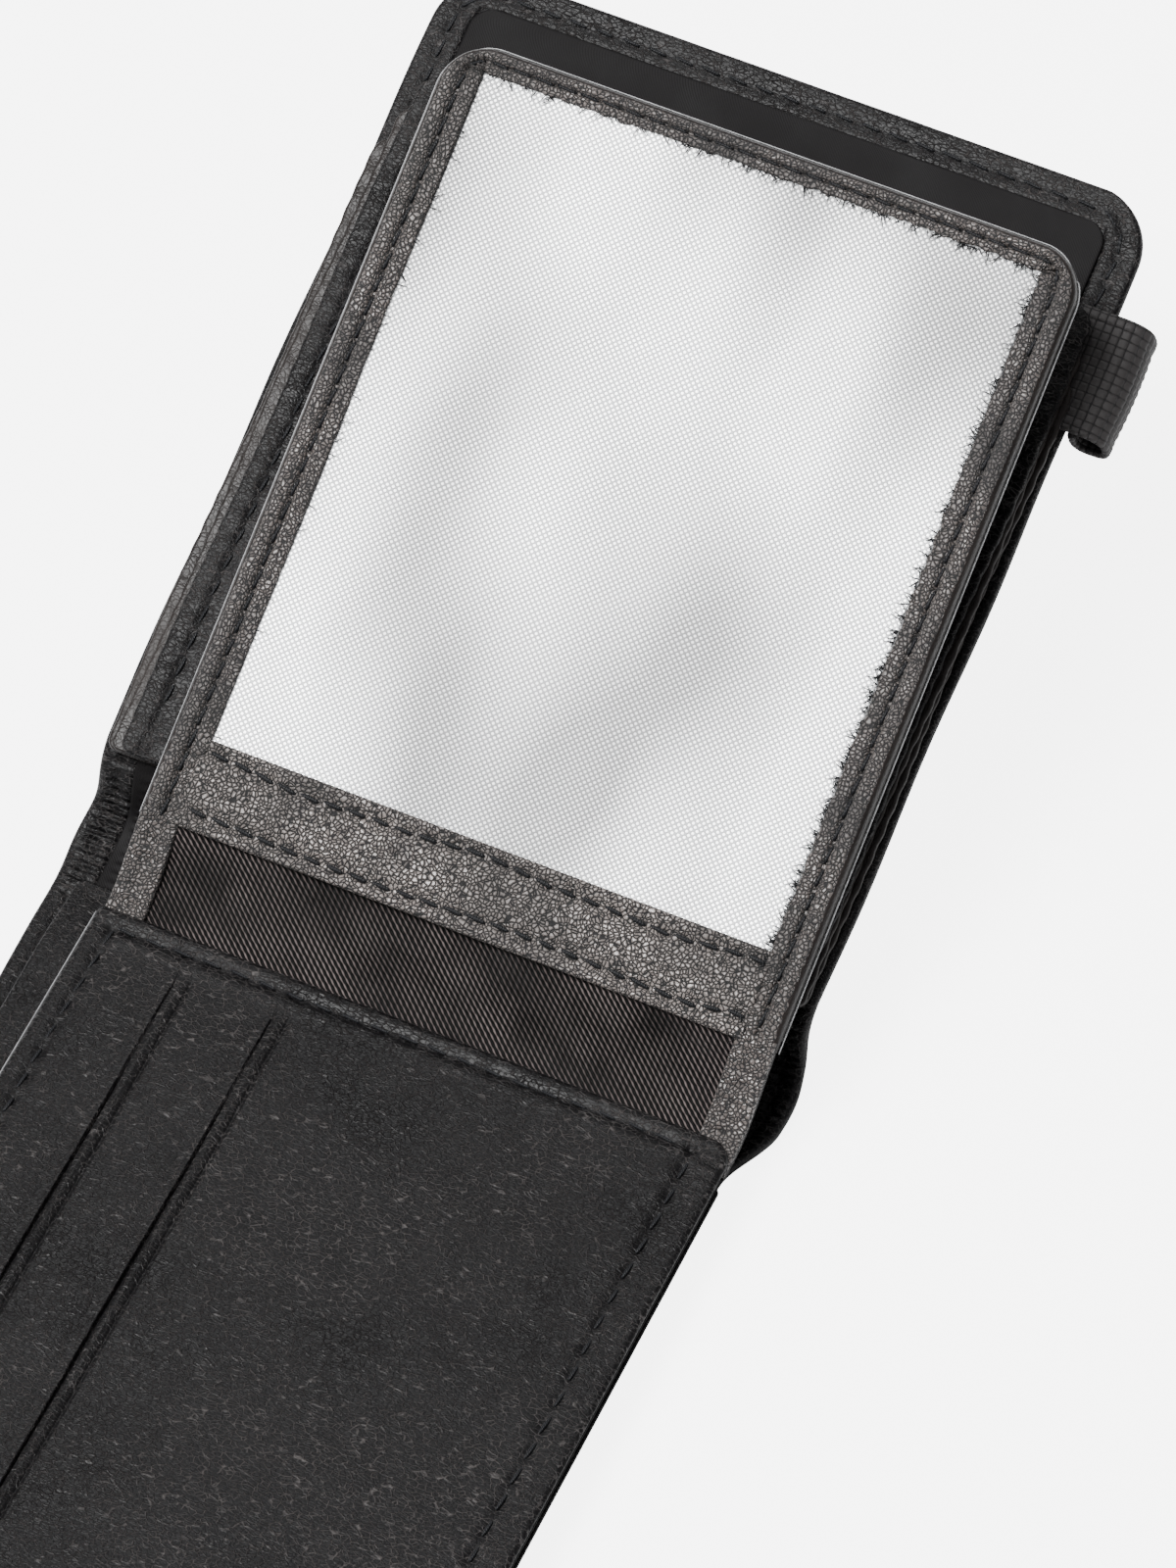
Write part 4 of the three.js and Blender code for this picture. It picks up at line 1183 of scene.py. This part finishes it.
def root_half(name, material, sides, span, faces, seed, cut, creasing, body, waves=0.0, seam=0.0):
    """One stretch of the leaf's soft root between the card panel and the strip, with cross creases."""
    def relief(x, s, to_edge):
        crease = np.sin(2.0 * np.pi * s / 2.1 + 0.8 * np.sin(x / 5.0 + seed)) * smooth_step(4.0, 7.0, s)
        row = seam * pucker(to_edge - 2.6, s, FRAME_PITCH, 0.42)
        wave = waves * unevenness(x + 1.4 * s, 1.6 * s, 15.0, 7)
        return creasing * (crease + unevenness(x, s, 5.0, seed)) + wave + row
    piece = panel(name, material, ROOT_PATH, sides, span, faces, 0.3, cut=cut, steps=(1.6, 0.4),
                  relief=relief)
    if body == "left_panel":
        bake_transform(piece)
    else:
        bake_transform(piece)
    return piece


def leaf_root():
    """Twill across the middle, a leather band at each side and a back, all cut on the hinge line."""
    strip_end = ROOT_LEAF_START + 3.6
    halves = (("left_panel", "anchor", (0.2, ROOT_HINGE), ROOT_HINGE, (False, True)),
              ("document_leaf", "rise", (ROOT_HINGE, float(ROOT_RUN[-1])), strip_end, (True, False)))
    for half, low, span, stop, cut in halves:
        cloth = root_half(f"root_twill_{low}", TWILL, (-34.4, 42.0), span, (-0.15, 0.15), 3, cut, 0.03, half,
                          waves=0.55)
        short = (span[0], stop)
        for side, sides in (("open", (-38.35, -33.1)), ("closed", (40.6, 45.85))):
            band = root_half(f"root_band_{side}_{low}", BINDING, sides, short, (-0.25, 1.0), 6, cut, 0.11,
                             half, seam=1.0)
        back = root_half(f"root_back_{low}", SMOOTH, (-38.3, 45.8), short, (-0.75, -0.2), 9, cut, 0.03, half)
        if half == "left_panel":
            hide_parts("leaf_anchor_tongue")
        else:
            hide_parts("leaf_pocket_lining", "leaf_fold_strip")


# ---- Stage ----

def floor():
    """A wide plain floor just under the wallet."""
    mesh = bpy.data.meshes.new("floor")
    size, level = 6.0, -0.0004
    corners = [(-size, -size, level), (size, -size, level), (size, size, level), (-size, size, level)]
    mesh.from_pydata(corners, [], [(0, 1, 2, 3)])
    mesh.materials.append(floor_paint())
    piece = bpy.data.objects.new("floor", mesh)
    bpy.context.scene.collection.objects.link(piece)


def soft_light(name, place_at, aim, size, power):
    """A square area light aimed at a point."""
    data = bpy.data.lights.new(name, "AREA")
    data.shape = "SQUARE"
    data.size = size
    data.energy = power
    lamp = bpy.data.objects.new(name, data)
    lamp.location = place_at
    direction = np.array(aim) - np.array(place_at)
    lamp.rotation_euler = Vector(direction).to_track_quat("-Z", "Y").to_euler()
    bpy.context.scene.collection.objects.link(lamp)


def studio():
    """Even light from the room, a large soft light high up at front left and a weak one behind, left."""
    world = bpy.data.worlds.new("room")
    world.use_nodes = True
    tree = world.node_tree
    fill(tree, tree.nodes["Background"], Color=(0.93, 0.94, 0.95, 1.0), Strength=0.60)
    bpy.context.scene.world = world
    soft_light("key_light", (-0.50, -0.38, 1.45), (0.0, 0.08, 0.0), 0.75, 78.0)
    soft_light("rim_light", (-0.48, 0.95, 1.30), (0.0, 0.02, 0.0), 0.40, 9.0)


def camera():
    """A long lens from the front right, looking down at the wallet."""
    data = bpy.data.cameras.new("camera")
    data.sensor_fit = "VERTICAL"
    data.sensor_height = 36.0
    data.lens = 228.7
    data.clip_end = 20.0
    eye = bpy.data.objects.new("camera", data)
    azimuth, elevation, distance = math.radians(24.7), math.radians(54.6), 1.216
    target = np.array([0.0076, 0.08953, 0.008])
    level = math.cos(elevation)
    away = np.array([math.sin(azimuth) * level, -math.cos(azimuth) * level, math.sin(elevation)])
    eye.location = target + distance * away
    eye.rotation_euler = Vector(-away).to_track_quat("-Z", "Y").to_euler()
    bpy.context.scene.collection.objects.link(eye)
    bpy.context.scene.camera = eye


for build in (cover, cover_lining, cover_stitches, note_divider, card_backing, card_linings, card_panel,
              card_stitches, right_pocket, pocket_stitches, pen_loop, leaf_back, frame_binding, frame_rim,
              edge_lines, frame_stitches, raw_edge_fibres, window_sheet, window_insert, window_strip,
              strip_stitches, leaf_root, floor, studio, camera):
    build()
